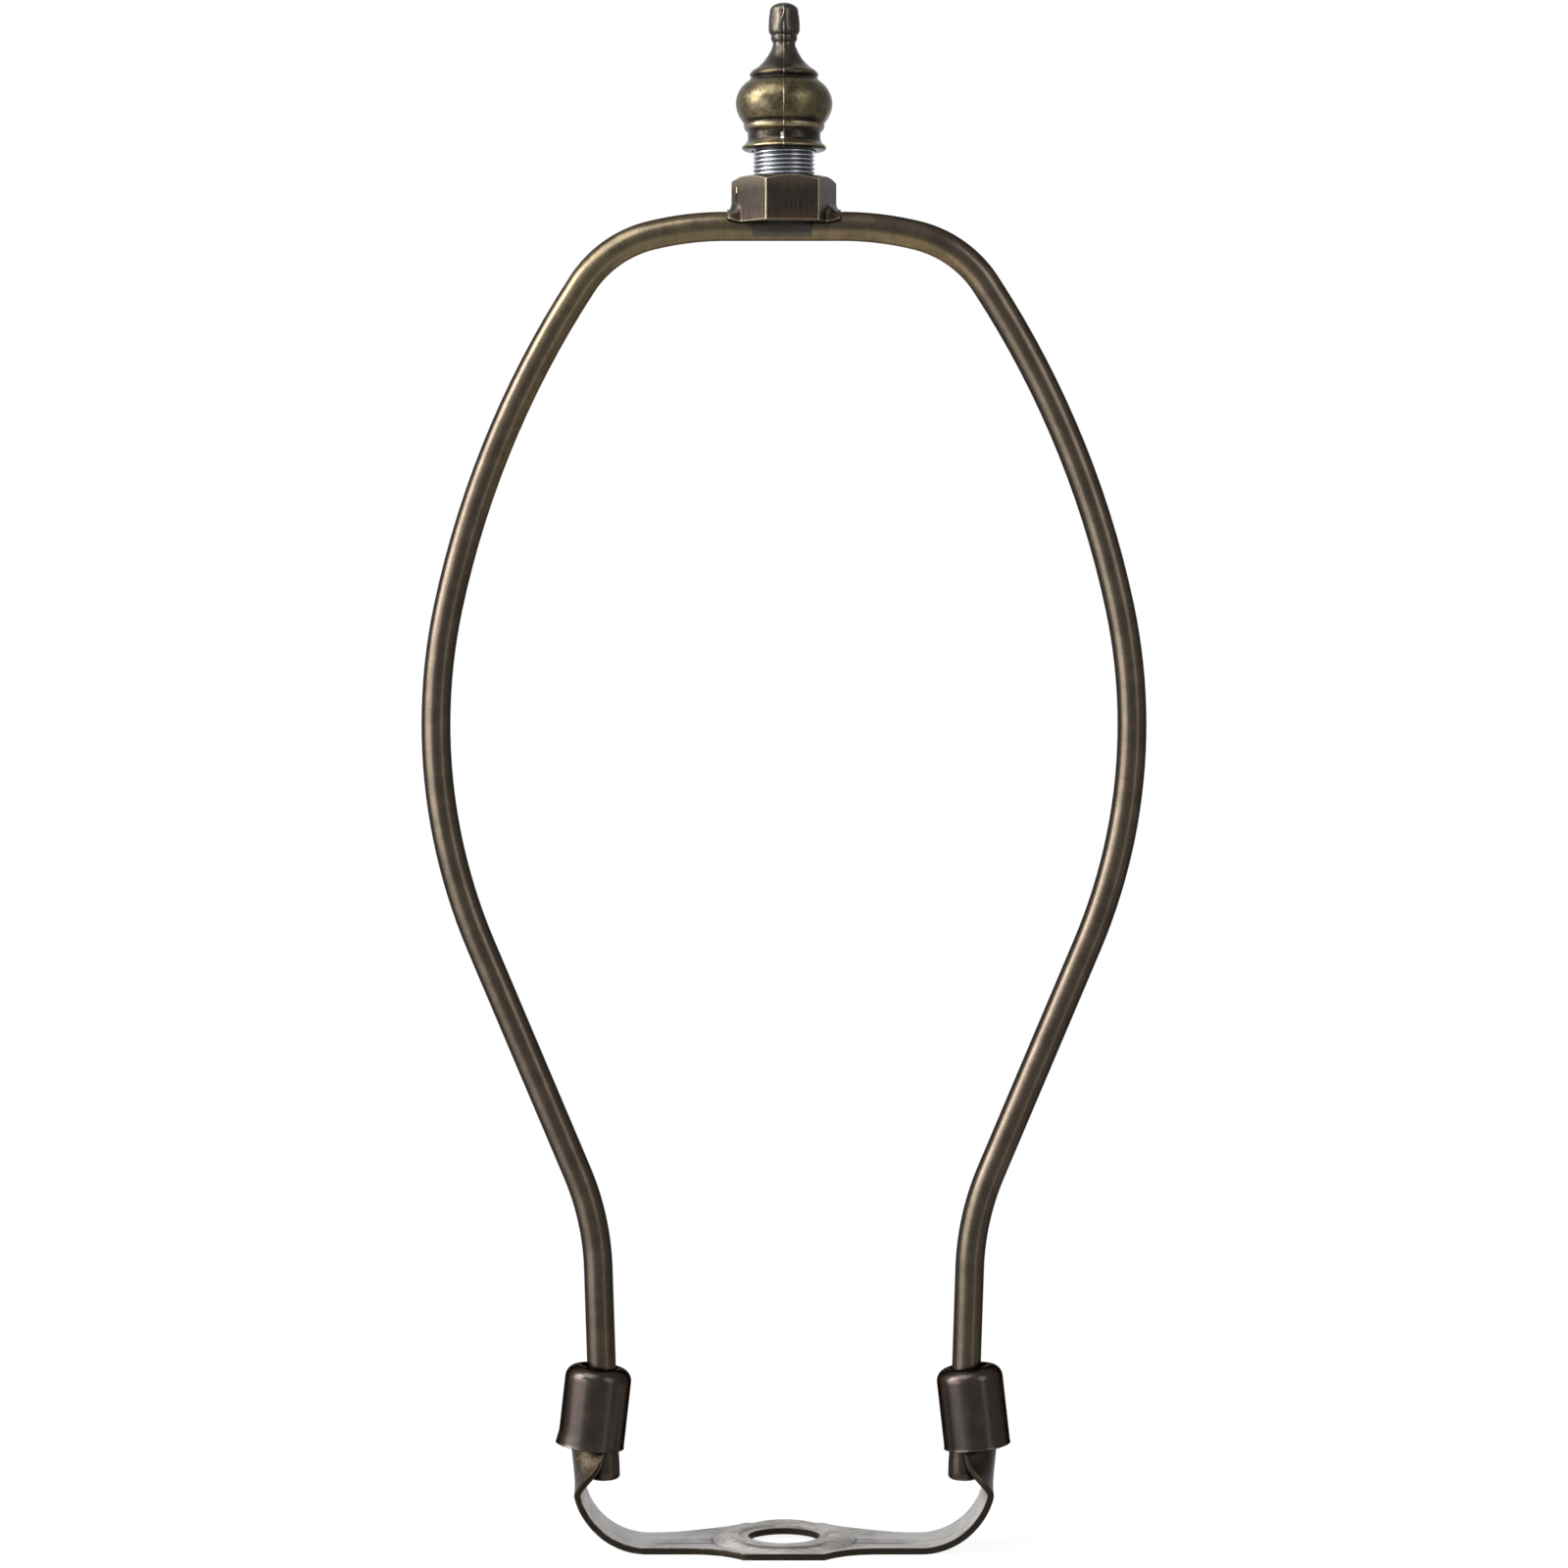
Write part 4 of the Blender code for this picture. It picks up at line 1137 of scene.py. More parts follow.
        self._grid(bm, last, self.around, plate)
        for side in Side:
            def arm(
                column: float, row: float, way: float = side.value,
            ) -> tuple[Vector, float, float, float]:
                """The arm's place, edge distance, crease and blank distance."""
                point, rim, along = self.arm_point(column, way * (2.0 * row - 1.0), way)
                return point, rim, 0.0, along

            self._grid(bm, self.along_arm, self.across, arm)
        tidy(bm, self.seam_gap)
        bm.normal_update()
        lowest = min(bm.faces, key=lambda face: face.calc_center_median().z)
        if lowest.normal.z > 0.0:
            bmesh.ops.reverse_faces(bm, faces=bm.faces)
        self._thicken(bm)
        piece("saddle_sheet", bm, finish.material(), "saddle", "root", sharp=50.0)

    def _grid(
        self, bm: bmesh.types.BMesh, columns: int, rows: int,
        place: Callable[[float, float], tuple[Vector, float, float, float]],
    ) -> None:
        """Adds a grid whose corners are put where place says.

        Args:
            bm: The saddle's mesh.
            columns: The grid's columns.
            rows: The grid's rows.
            place: Gives a corner's point, edge distance, crease and blank distance.
        """
        layers = bm.verts.layers.float
        grid = bmesh.ops.create_grid(bm, x_segments=columns, y_segments=rows, size=0.5)
        for vert in grid["verts"]:
            vert.co, vert[layers["rim"]], vert[layers["crease"]], vert[layers["blank"]] = place(
                vert.co.x + 0.5, vert.co.y + 0.5)

    def _thicken(self, bm: bmesh.types.BMesh) -> None:
        """Gives the sheet its thickness and rounds its cut edges.

        Args:
            bm: The underside's mesh.
        """
        skin = bm.verts.layers.float["skin"]
        under = set(bm.verts)
        bmesh.ops.solidify(bm, geom=list(bm.faces), thickness=self.sheet)
        for vert in bm.verts:
            vert[skin] = 0.0 if vert in under else 1.0
        rims = [edge for edge in bm.edges
                if len(edge.link_faces) == 2 and edge.calc_face_angle() > math.radians(60.0)]
        bmesh.ops.bevel(
            bm, geom=rims, offset=self.edge_rounding, offset_type="OFFSET", segments=2,
            profile=0.5, affect="EDGES", material=-1, clamp_overlap=True,
        )


# The ferrules

@dataclass
class Ferrule:
    """A drawn cup that slides down the leg over the gutter and locks the harp to the saddle."""

    side: Side
    length: float = FERRULE_LENGTH
    radius: float = 4.95 * MM
    inside: float = 4.55 * MM
    wall: float = 0.4 * MM
    bore: float = 2.72 * MM
    shoulder: float = 1.9 * MM
    lip: float = 0.12 * MM
    lip_length: float = 0.7 * MM
    flare: float = 0.0
    flare_length: float = 2.2 * MM
    mouth_x: float = MOUTH_X
    mouth_height: float = MOUTH_HEIGHT
    mouth_offset: float = MOUTH_OFFSET
    top_offset: float = 0.27 * MM
    leg_lean: float = LEG_LEAN
    edge: float = 0.1 * MM
    waver: float = 0.05 * MM
    waver_height: float = 1.0 * MM
    waver_scale: float = 550.0
    bore_burr: float = 0.10 * MM
    bore_burr_depth: float = 0.2 * MM
    bore_burr_scale: float = 1500.0
    spacing: float = 0.45 * MM
    steps: int = 112

    def __post_init__(self) -> None:
        """Works out how far the cup leans from its leg."""
        self.tilt = math.atan((self.mouth_offset - self.top_offset) / self.length)

    def profile(self) -> list[Point]:
        """The cup's section, outer side downwards, then the inside upwards.

        Returns:
            The (radius, height above the mouth) points.
        """
        top = self.length
        shoulder = top - self.shoulder
        crown = self.radius - self.shoulder
        quarter = math.tan(math.pi / 8)
        points = [(self.bore, top - self.edge)]
        points += bulged(points[-1], (self.bore + self.edge, top), -quarter, 3)
        points.append((crown, top))
        points += bulged(points[-1], (self.radius, shoulder), -quarter, 14)
        points += [(self.radius, self.lip_length)]
        points += bulged(points[-1], (self.radius + self.lip - self.edge / 2, self.edge), 0.1, 4)
        points += bulged(points[-1], (self.inside, 0.0), -0.35, 4)
        points.append((self.inside, shoulder))
        points += bulged(points[-1], (crown, top - self.wall), quarter, 8)
        points.append((self.bore, top - self.wall))
        return spread(points, self.spacing)

    def build(self, finish: bpy.types.Material) -> None:
        """Makes the ferrule and sets it on its leg.

        Args:
            finish: Its material.
        """
        bm = turned(self.profile(), self.steps, closed=True)
        up = bm.verts.layers.float.new("up")
        around = bm.verts.layers.float.new("round")
        reach = bm.verts.layers.float.new("reach")
        for vert in bm.verts:
            angle = math.atan2(vert.co.y, vert.co.x * self.side.value)
            vert[up] = vert.co.z
            vert[around] = abs(angle)
            vert[reach] = math.hypot(vert.co.x, vert.co.y) / MM
            mouth = 1.0 - smooth(0.0, self.flare_length, vert.co.z)
            spot = Vector((vert.co.x, vert.co.y, 7.0 * self.side.value * MM))
            wave = noise.noise(spot * self.waver_scale)
            out = self.flare * max(math.cos(angle), 0.0) ** 2 * mouth
            out += self.waver * wave * (1.0 - smooth(0.0, self.waver_height, vert.co.z))
            ray = Vector((vert.co.x, vert.co.y, 0.0)).normalized()
            vert.co += ray * out
            if vert.co.z > self.length - self.bore_burr_depth and vert[reach] < 1.04 * self.bore / MM:
                vert.co += ray * self.bore_burr * noise.noise(vert.co * self.bore_burr_scale)
        way = self.side.value
        place = Matrix.Translation((way * self.mouth_x, 0.0, self.mouth_height))
        place = place @ Matrix.Rotation(way * self.leg_lean, 4, "Y")
        place = place @ Matrix.Translation((way * self.mouth_offset, 0.0, 0.0))
        place = place @ Matrix.Rotation(-way * self.tilt, 4, "Y")
        bmesh.ops.transform(bm, verts=bm.verts, matrix=place)
        node = f"ferrule_{self.side.word}"
        piece(f"{self.side.word}_ferrule_cup", bm, finish, node, node)


# The hex seat, the stud and the finial

@dataclass
class HexSeat:
    """The hex seat on the crown: chamfered, skirted left and right, and grooved for the wire."""

    crown: float
    radius: float = 7.9 * MM
    height: float = 6.6 * MM
    turn: float = math.radians(40.6)
    over_wire_axis: float = 0.46 * MM
    chamfer_top_radius: float = 6.7015 * MM
    chamfer_slope: float = math.radians(30.0)
    skirt_radius: float = 8.7 * MM
    skirt_height: float = 1.2 * MM
    skirt_flare_height: float = 1.7 * MM
    skirt_half_width: float = 3.3 * MM
    skirt_undercut: float = 2.9 * MM
    skirt_span: Span = (-1.0 * MM, 0.4 * MM)
    burr: float = 0.3 * MM
    burr_turn: Span = (0.88, 0.97)
    burr_foot: Span = (0.0, 0.5 * MM)
    burr_top: Span = (0.9 * MM, 1.5 * MM)
    burr_scale: float = 1600.0
    bore_radius: float = 4.8 * MM
    bore_floor: float = 0.4 * MM
    bore_lead: float = 0.2 * MM
    groove_radius: float = 2.45 * MM
    corner_power: float = 190.0
    corner_line: Span = (0.25, 1.25)
    chamfer_blend: float = 0.05 * MM
    edge_wear: Span = (0.03 * MM, 0.16 * MM)
    lip_wear: Span = (0.04 * MM, 0.20 * MM)
    under_inset: float = 0.06 * MM
    steps: int = 540
    face_rings: int = 6
    side_rings: int = 48
    under_rings: int = 36

    def __post_init__(self) -> None:
        """Works out the heights."""
        self.bottom = self.crown + self.over_wire_axis
        self.top = self.bottom + self.height
        self.lip = self.bottom + self.skirt_height
        self.flat = self.radius * math.cos(math.pi / 6)

    def hex_reach(self, angle: float) -> tuple[float, float]:
        """How far the hex reaches at an angle.

        Args:
            angle: The angle about Z.

        Returns:
            The reach with its corners rounded, and how near the angle is to a corner, from 0 to 1.
        """
        faces = [math.cos(angle - self.turn - math.radians(60.0 * face)) for face in range(6)]
        blunt = sum(max(share, 0.0) ** self.corner_power for share in faces)
        off = abs(math.degrees(angle - self.turn) % 60.0 - 30.0)
        return self.flat / blunt ** (1.0 / self.corner_power), 1.0 - smooth(*self.corner_line, off)

    def skirt(self, angle: float) -> float:
        """The skirt's share at an angle: 1 at the left and right, 0 at the front and back."""
        past = abs(math.sin(angle)) * self.radius - self.skirt_half_width
        return 1.0 - smooth(*self.skirt_span, past)

    def reach(self, angle: float, height: float) -> float:
        """How far the side stands out, with its skirt and burr.

        Args:
            angle: The angle about Z.
            height: The height above the saddle's underside.

        Returns:
            The distance from the axis.
        """
        hexed, _ = self.hex_reach(angle)
        over_lip = height - self.lip
        flare = min(max(1.0 - over_lip / self.skirt_flare_height, 0.0), 1.0)
        out = (self.skirt_radius - hexed) * self.skirt(angle) * flare ** 2.1
        right = smooth(*self.burr_turn, math.cos(angle))
        if right > 0.0:
            spot = Vector((height, math.sin(angle) * self.radius, 0.0))
            lump = 0.5 + noise.noise(spot * self.burr_scale)
            band = smooth(*self.burr_foot, over_lip) * (1.0 - smooth(*self.burr_top, over_lip))
            out += self.burr * right * band * max(lump, 0.0)
        return hexed + out

    def underside(self, x: float, y: float) -> float:
        """The height of the underside: level, rounded up at both ends and hollowed for the wire.

        Args:
            x: The place along X.
            y: The place along Y.

        Returns:
            The height.
        """
        foot = self.skirt_radius - self.skirt_undercut
        rise = min(max((abs(x) - foot) / self.skirt_undercut, 0.0), 1.0)
        height = self.bottom + self.skirt_height * (1.0 - math.sqrt(1.0 - rise * rise))
        if abs(y) < self.groove_radius:
            height = max(height, self.crown + math.sqrt(self.groove_radius ** 2 - y * y))
        return height

    def build(self, finish: TurnedBronze) -> None:
        """Makes the hex seat.

        Args:
            finish: Its finish.
        """
        floor = self.crown + self.groove_radius + self.bore_floor
        rings_wanted = 4 + self.face_rings + self.side_rings + self.under_rings
        profile = [(MM * (ring + 1), 0.0) for ring in range(rings_wanted)]
        bm = turned(profile, self.steps, closed=False)
        wear = bm.verts.layers.float.new("wear")
        around = bm.verts.layers.float.new("round")
        for vert in bm.verts:
            angle = math.atan2(vert.co.y, vert.co.x)
            ring = round(math.hypot(vert.co.x, vert.co.y) / MM) - 1
            vert.co, vert[wear] = self._place(ring, angle, floor)
            vert[around] = abs(angle)
        bmesh.ops.holes_fill(bm, edges=[edge for edge in bm.edges if edge.is_boundary], sides=0)
        tidy(bm)
        piece("hex_nut_seat", bm, finish.material(), "hex_seat", "root", sharp=45.0)

    def _place(self, ring: int, angle: float, floor: float) -> tuple[Vector, float]:
        """Where a ring's vertex goes: bore floor, bore, top face, side and underside, in that order.

        Args:
            ring: The ring's order from the bore's floor.
            angle: The vertex's angle about Z.
            floor: The height of the bore's floor.

        Returns:
            The point and its wear, from 0 to 1.
        """
        ray = Vector((math.cos(angle), math.sin(angle), 0.0))
        up = Vector((0.0, 0.0, 1.0))
        if ring <= 1:
            return ray * self.bore_radius * (0.5, 1.0)[ring] + up * floor, 0.0
        if ring == 2:
            return ray * self.bore_radius + up * (self.top - self.bore_lead), 0.0
        ring -= 3
        if ring < self.face_rings:
            share = ring / (self.face_rings - 1)
            inner = self.bore_radius + self.bore_lead
            reach = inner + (self.chamfer_top_radius - inner) * share
            return ray * reach + up * self.top, 0.7 * smooth(0.9, 1.0, share)
        ring -= self.face_rings
        hexed, corner = self.hex_reach(angle)
        outer = hexed + (self.skirt_radius - hexed) * self.skirt(angle)
        lowest = self.underside(ray.x * outer, ray.y * outer)
        if ring < self.side_rings:
            share = (ring + 1) / self.side_rings
            down = 0.5 * share if share < 0.3 else 0.15 + 0.85 * (share - 0.3) / 0.7
            height = self.top - (self.top - lowest) * down
            cone = self.chamfer_top_radius + (self.top - height) / math.tan(self.chamfer_slope)
            side = self.reach(angle, height)
            near = min(abs(side - cone) / self.chamfer_blend, 40.0)
            reach = min(side, cone) - self.chamfer_blend * math.log1p(math.exp(-near))
            edge = 1.0 - smooth(*self.edge_wear, abs(cone - side))
            upright = corner * (1.0 - self.skirt(angle) * smooth(0.0, 0.5, (side - hexed) / MM))
            lip = 1.0 - smooth(*self.lip_wear, height - lowest)
            return ray * reach + up * height, max(edge, upright if cone > side else 0.0, 0.8 * lip)
        share = 1.0 - (ring - self.side_rings + 1) / self.under_rings
        reach = (outer - self.under_inset) * max(share, 0.0)
        return ray * reach + up * self.underside(ray.x * reach, ray.y * reach), 0.0


@dataclass
class ThreadedStud:
    """The zinc stud, with a real thread, that passes through the shade's ring into the finial."""

    bottom: float
    top: float
    radius: float = STUD_RADIUS
    depth: float = 0.34 * MM
    pitch: float = 0.62 * MM
    chamfer: float = 0.5 * MM
    seam_gap: float = 0.002 * MM
    steps: int = 72

    def build(self, finish: ZincPlate) -> None:
        """Makes the stud.

        Args:
            finish: Its finish.
        """
        bm = bmesh.new()
        turns = math.ceil((self.top - self.bottom) / self.pitch) + 2
        start = self.bottom - self.pitch
        root = self.radius - self.depth
        section = (
            (root, 0.0), (root, 0.12), (self.radius, 0.44), (self.radius, 0.62),
            (root, 0.94), (root, 1.0),
        )
        verts = [bm.verts.new((reach, 0.0, start + share * self.pitch)) for reach, share in section]
        edges = [bm.edges.new(pair) for pair in zip(verts, verts[1:])]
        bmesh.ops.spin(
            bm, geom=[*verts, *edges], cent=(0.0, 0.0, 0.0), axis=(0.0, 0.0, 1.0),
            dvec=(0.0, 0.0, self.pitch / self.steps), angle=FULL_TURN * turns,
            steps=self.steps * turns,
        )
        bmesh.ops.remove_doubles(bm, verts=bm.verts, dist=self.seam_gap)
        for height, way in ((self.bottom, -1.0), (self.top, 1.0)):
            bmesh.ops.bisect_plane(
                bm, geom=[*bm.verts, *bm.edges, *bm.faces], plane_co=(0.0, 0.0, height),
                plane_no=(0.0, 0.0, way), clear_outer=True, dist=0.0005 * MM,
            )
            rim = [edge for edge in bm.edges if edge.is_boundary
                   and all(abs(vert.co.z - height) < 0.01 * MM for vert in edge.verts)]
            bmesh.ops.holes_fill(bm, edges=rim, sides=0)
        for vert in bm.verts:
            end = min(self.top - vert.co.z, vert.co.z - self.bottom)
            limit = self.radius - self.chamfer + max(end, 0.0)
            reach = math.hypot(vert.co.x, vert.co.y)
            if reach > limit:
                vert.co.x *= limit / reach
                vert.co.y *= limit / reach
        bmesh.ops.recalc_face_normals(bm, faces=bm.faces)
        piece("stud_thread", bm, finish.material(), "threaded_stud", "root", sharp=30.0)


@dataclass
class Finial:
    """The turned finial: a base, a flattened ball, a collar, a cone and a bud, cast in two halves."""

    base: float
    bore_radius: float = 4.8 * MM
    bore_depth: float = 6.4 * MM
    neck_radius: float = 5.35 * MM
    base_step: float = 0.3 * MM
    rim_step: float = 0.9 * MM
    bead_foot_step: float = 0.25 * MM
    ball_step: float = 1.77 * MM
    collar_radius: float = 5.05 * MM
    collar_groove: float = 0.2 * MM
    cone_base_radius: float = 4.3 * MM
    cone_top_radius: float = 1.67 * MM
    knob_foot_radius: float = 1.88 * MM
    knob_radius: float = 2.3 * MM
    knob_shoulder_radius: float = 2.1 * MM
    knob_dome_radius: float = 1.7 * MM
    rim_height: float = 0.75 * MM
    flare_height: float = 0.95 * MM
    neck_height: float = 0.9 * MM
    bead_foot_height: float = 0.3 * MM
    bead_height: float = 1.1 * MM
    ball_below: float = 3.1 * MM
    ball_above: float = 3.2 * MM
    groove_height: float = 0.45 * MM
    collar_height: float = 0.9 * MM
    collar_step_height: float = 0.3 * MM
    cone_height: float = 3.55 * MM
    cone_neck_height: float = 0.35 * MM
    small_bead_height: float = 1.05 * MM
    knob_swell_height: float = 0.95 * MM
    knob_shank_height: float = 2.45 * MM
    knob_shoulder_height: float = 0.9 * MM
    knob_dome_height: float = 0.45 * MM
    ball_lower_half: float = 5.6 * MM
    ball_upper_half: float = 4.65 * MM
    knob_lobes: int = 4
    knob_lobe_depth: float = 0.1
    mismatch: float = 0.05 * MM
    mismatch_span: Span = (-0.10 * MM, 0.10 * MM)
    swell: float = 0.06 * MM
    swell_scale: float = 420.0
    ripple: float = 0.02 * MM
    ripple_scale: float = 1500.0
    steady_radius: float = 3.0 * MM
    spacing: float = 0.3 * MM
    ball_steps: int = 40
    steps: int = 240

    def __post_init__(self) -> None:
        """Adds the sections' heights up from the underside."""
        self.ball_radius = self.neck_radius + self.ball_step
        self.neck_bottom = self.rim_height + self.flare_height
        self.neck_top = self.neck_bottom + self.neck_height
        self.bead_foot = self.neck_top + self.bead_foot_height
        self.ball_bottom = self.bead_foot + self.bead_height
        self.ball_middle = self.ball_bottom + self.ball_below
        self.ball_top = self.ball_middle + self.ball_above
        self.collar_bottom = self.ball_top + self.groove_height
        self.collar_middle = self.collar_bottom + self.collar_height / 2
        self.cone_bottom = self.collar_bottom + self.collar_height + self.collar_step_height
        self.cone_top = self.cone_bottom + self.cone_height
        self.small_bead = self.cone_top + self.cone_neck_height
        self.knob_foot = self.small_bead + self.small_bead_height
        self.knob_widest = self.knob_foot + self.knob_swell_height
        self.knob_shoulder = self.knob_widest + self.knob_shank_height
        self.knob_dome = self.knob_shoulder + self.knob_shoulder_height
        self.tip = self.knob_dome + self.knob_dome_height

    def ball_reach(self, height: float) -> float:
        """The ball's radius at a height above its widest circle."""
        half = self.ball_upper_half if height > 0.0 else self.ball_lower_half
        return self.ball_radius * math.sqrt(1.0 - (height / half) ** 2)

    def profile(self) -> list[Point]:
        """The finial's section, from the tip down the outside and up the bore.

        Returns:
            The (radius, height above the underside) points.
        """
        points = [(0.0, self.tip)]
        points += bulged(points[-1], (self.knob_dome_radius, self.knob_dome), -0.2, 10)
        points += bulged(points[-1], (self.knob_shoulder_radius, self.knob_shoulder), -0.25, 8)
        points += bulged(points[-1], (self.knob_radius, self.knob_widest), -0.05, 10)
        points += bulged(points[-1], (self.knob_foot_radius, self.knob_foot), -0.25, 8)
        points += bulged(points[-1], (self.cone_top_radius, self.small_bead), -0.3, 10)
        points.append((self.cone_top_radius, self.cone_top))
        points += bulged(points[-1], (self.cone_base_radius, self.cone_bottom), 0.17, 20)
        points += bulged(points[-1], (self.collar_radius, self.collar_middle), -0.2, 8)
        points += bulged(
            points[-1], (self.collar_radius - self.collar_groove, self.collar_bottom), -0.25, 8)
        for step in range(self.ball_steps + 1):
            height = self.ball_above - (self.ball_above + self.ball_below) * step / self.ball_steps
            points.append((self.ball_reach(height), self.ball_middle + height))
        points += bulged(points[-1], (self.neck_radius + self.bead_foot_step, self.bead_foot), -0.35, 10)
        points += [(self.neck_radius, self.neck_top), (self.neck_radius, self.neck_bottom)]
        rim = self.neck_radius + self.rim_step
        points += bulged(points[-1], (rim - self.collar_groove, self.rim_height), 0.2, 8)
        points += bulged(points[-1], (rim, self.rim_height / 2), -0.2, 6)
        points += bulged(points[-1], (self.neck_radius + self.base_step, 0.0), -0.3, 6)
        points += [(self.bore_radius, 0.0), (self.bore_radius, self.bore_depth), (0.0, self.bore_depth)]
        return spread(points, self.spacing)

    def relief(self, height: float) -> float:
        """How much a height of the finial is rubbed to gold: low in its grooves, high on its beads,
        where the brightest gold is partly a painted highlight.

        Args:
            height: The height above the underside.

        Returns:
            The share, near 0 in a groove and over 1 on a bead.
        """
        # Each groove and bead has its middle height and how far it reaches from there
        grooves = (
            (self.neck_bottom + 0.4 * self.neck_height, 0.75 * MM),
            (self.ball_bottom + 0.1 * MM, 0.35 * MM),
            (self.collar_bottom - 0.1 * MM, 0.5 * MM), (self.cone_top + 0.2 * MM, 0.5 * MM),
            (self.knob_foot, 0.5 * MM), (0.0, 0.35 * MM),
        )
        rubbed = 1.0
        for middle, half in grooves:
            rubbed = min(rubbed, smooth(0.15 * half, 1.6 * half, abs(height - middle)))
        upper = smooth(self.collar_middle - 0.5 * MM, self.cone_bottom + 1.0 * MM, height)
        rubbed *= 1.0 - 0.5 * upper
        beads = ((self.rim_height, 0.5 * MM), (self.bead_foot + 0.5 * self.bead_height, 0.45 * MM))
        for middle, half in beads:
            rubbed += 0.6 * (1.0 - smooth(0.3 * half, half, abs(height - middle)))
        return rubbed

    def build(self, finish: CastBrass) -> None:
        """Makes the finial.

        Args:
            finish: Its finish.
        """
        bm = turned(self.profile(), self.steps, closed=False)
        relief = bm.verts.layers.float.new("relief")
        knob_length = self.tip - self.knob_foot
        for vert in bm.verts:
            height = vert.co.z
            reach = math.hypot(vert.co.x, vert.co.y)
            vert[relief] = self.relief(height)
            if reach < self.bore_radius + 0.01 * MM and height < self.bore_depth + 0.01 * MM:
                vert[relief] = 0.0
                continue
            ray = Vector((vert.co.x, vert.co.y, 0.0)).normalized()
            share = (height - self.knob_foot) / knob_length
            if share > 0.0:
                angle = math.atan2(vert.co.y, vert.co.x)
                hollow = 0.5 - 0.5 * math.cos(self.knob_lobes * angle)
                squeeze = self.knob_lobe_depth * hollow * math.sin(math.pi * min(share, 1.0))
                vert.co -= ray * reach * squeeze
            half = self.mismatch * (smooth(*self.mismatch_span, vert.co.x) - 0.5)
            wave = self.swell * noise.noise(vert.co * self.swell_scale)
            wave += self.ripple * noise.noise(vert.co * self.ripple_scale)
            vert.co += ray * (min(reach / self.steady_radius, 1.0) * (wave + half))
        bmesh.ops.translate(bm, verts=bm.verts, vec=(0.0, 0.0, self.base))
        piece("cast_finial", bm, finish.material(), "finial", "finial", sharp=55.0)


# The studio

@dataclass(frozen=True)
class SoftBox:
    """One soft lamp of the studio."""

    name: str
    place: tuple[float, float, float]
    size: tuple[float, float]
    radiance: float

    def build(self, target: Vector) -> None:
        """Hangs the lamp.

        Args:
            target: What it is aimed at.
        """
        light = bpy.data.lights.new(self.name, "AREA")
        light.shape = "RECTANGLE"
        light.size, light.size_y = self.size
        light.energy = self.radiance * math.pi * self.size[0] * self.size[1]
        lamp = bpy.data.objects.new(self.name, light)
        lamp.location = self.place
        lamp.rotation_euler = (target - Vector(self.place)).to_track_quat("-Z", "Y").to_euler()
        bpy.context.scene.collection.objects.link(lamp)


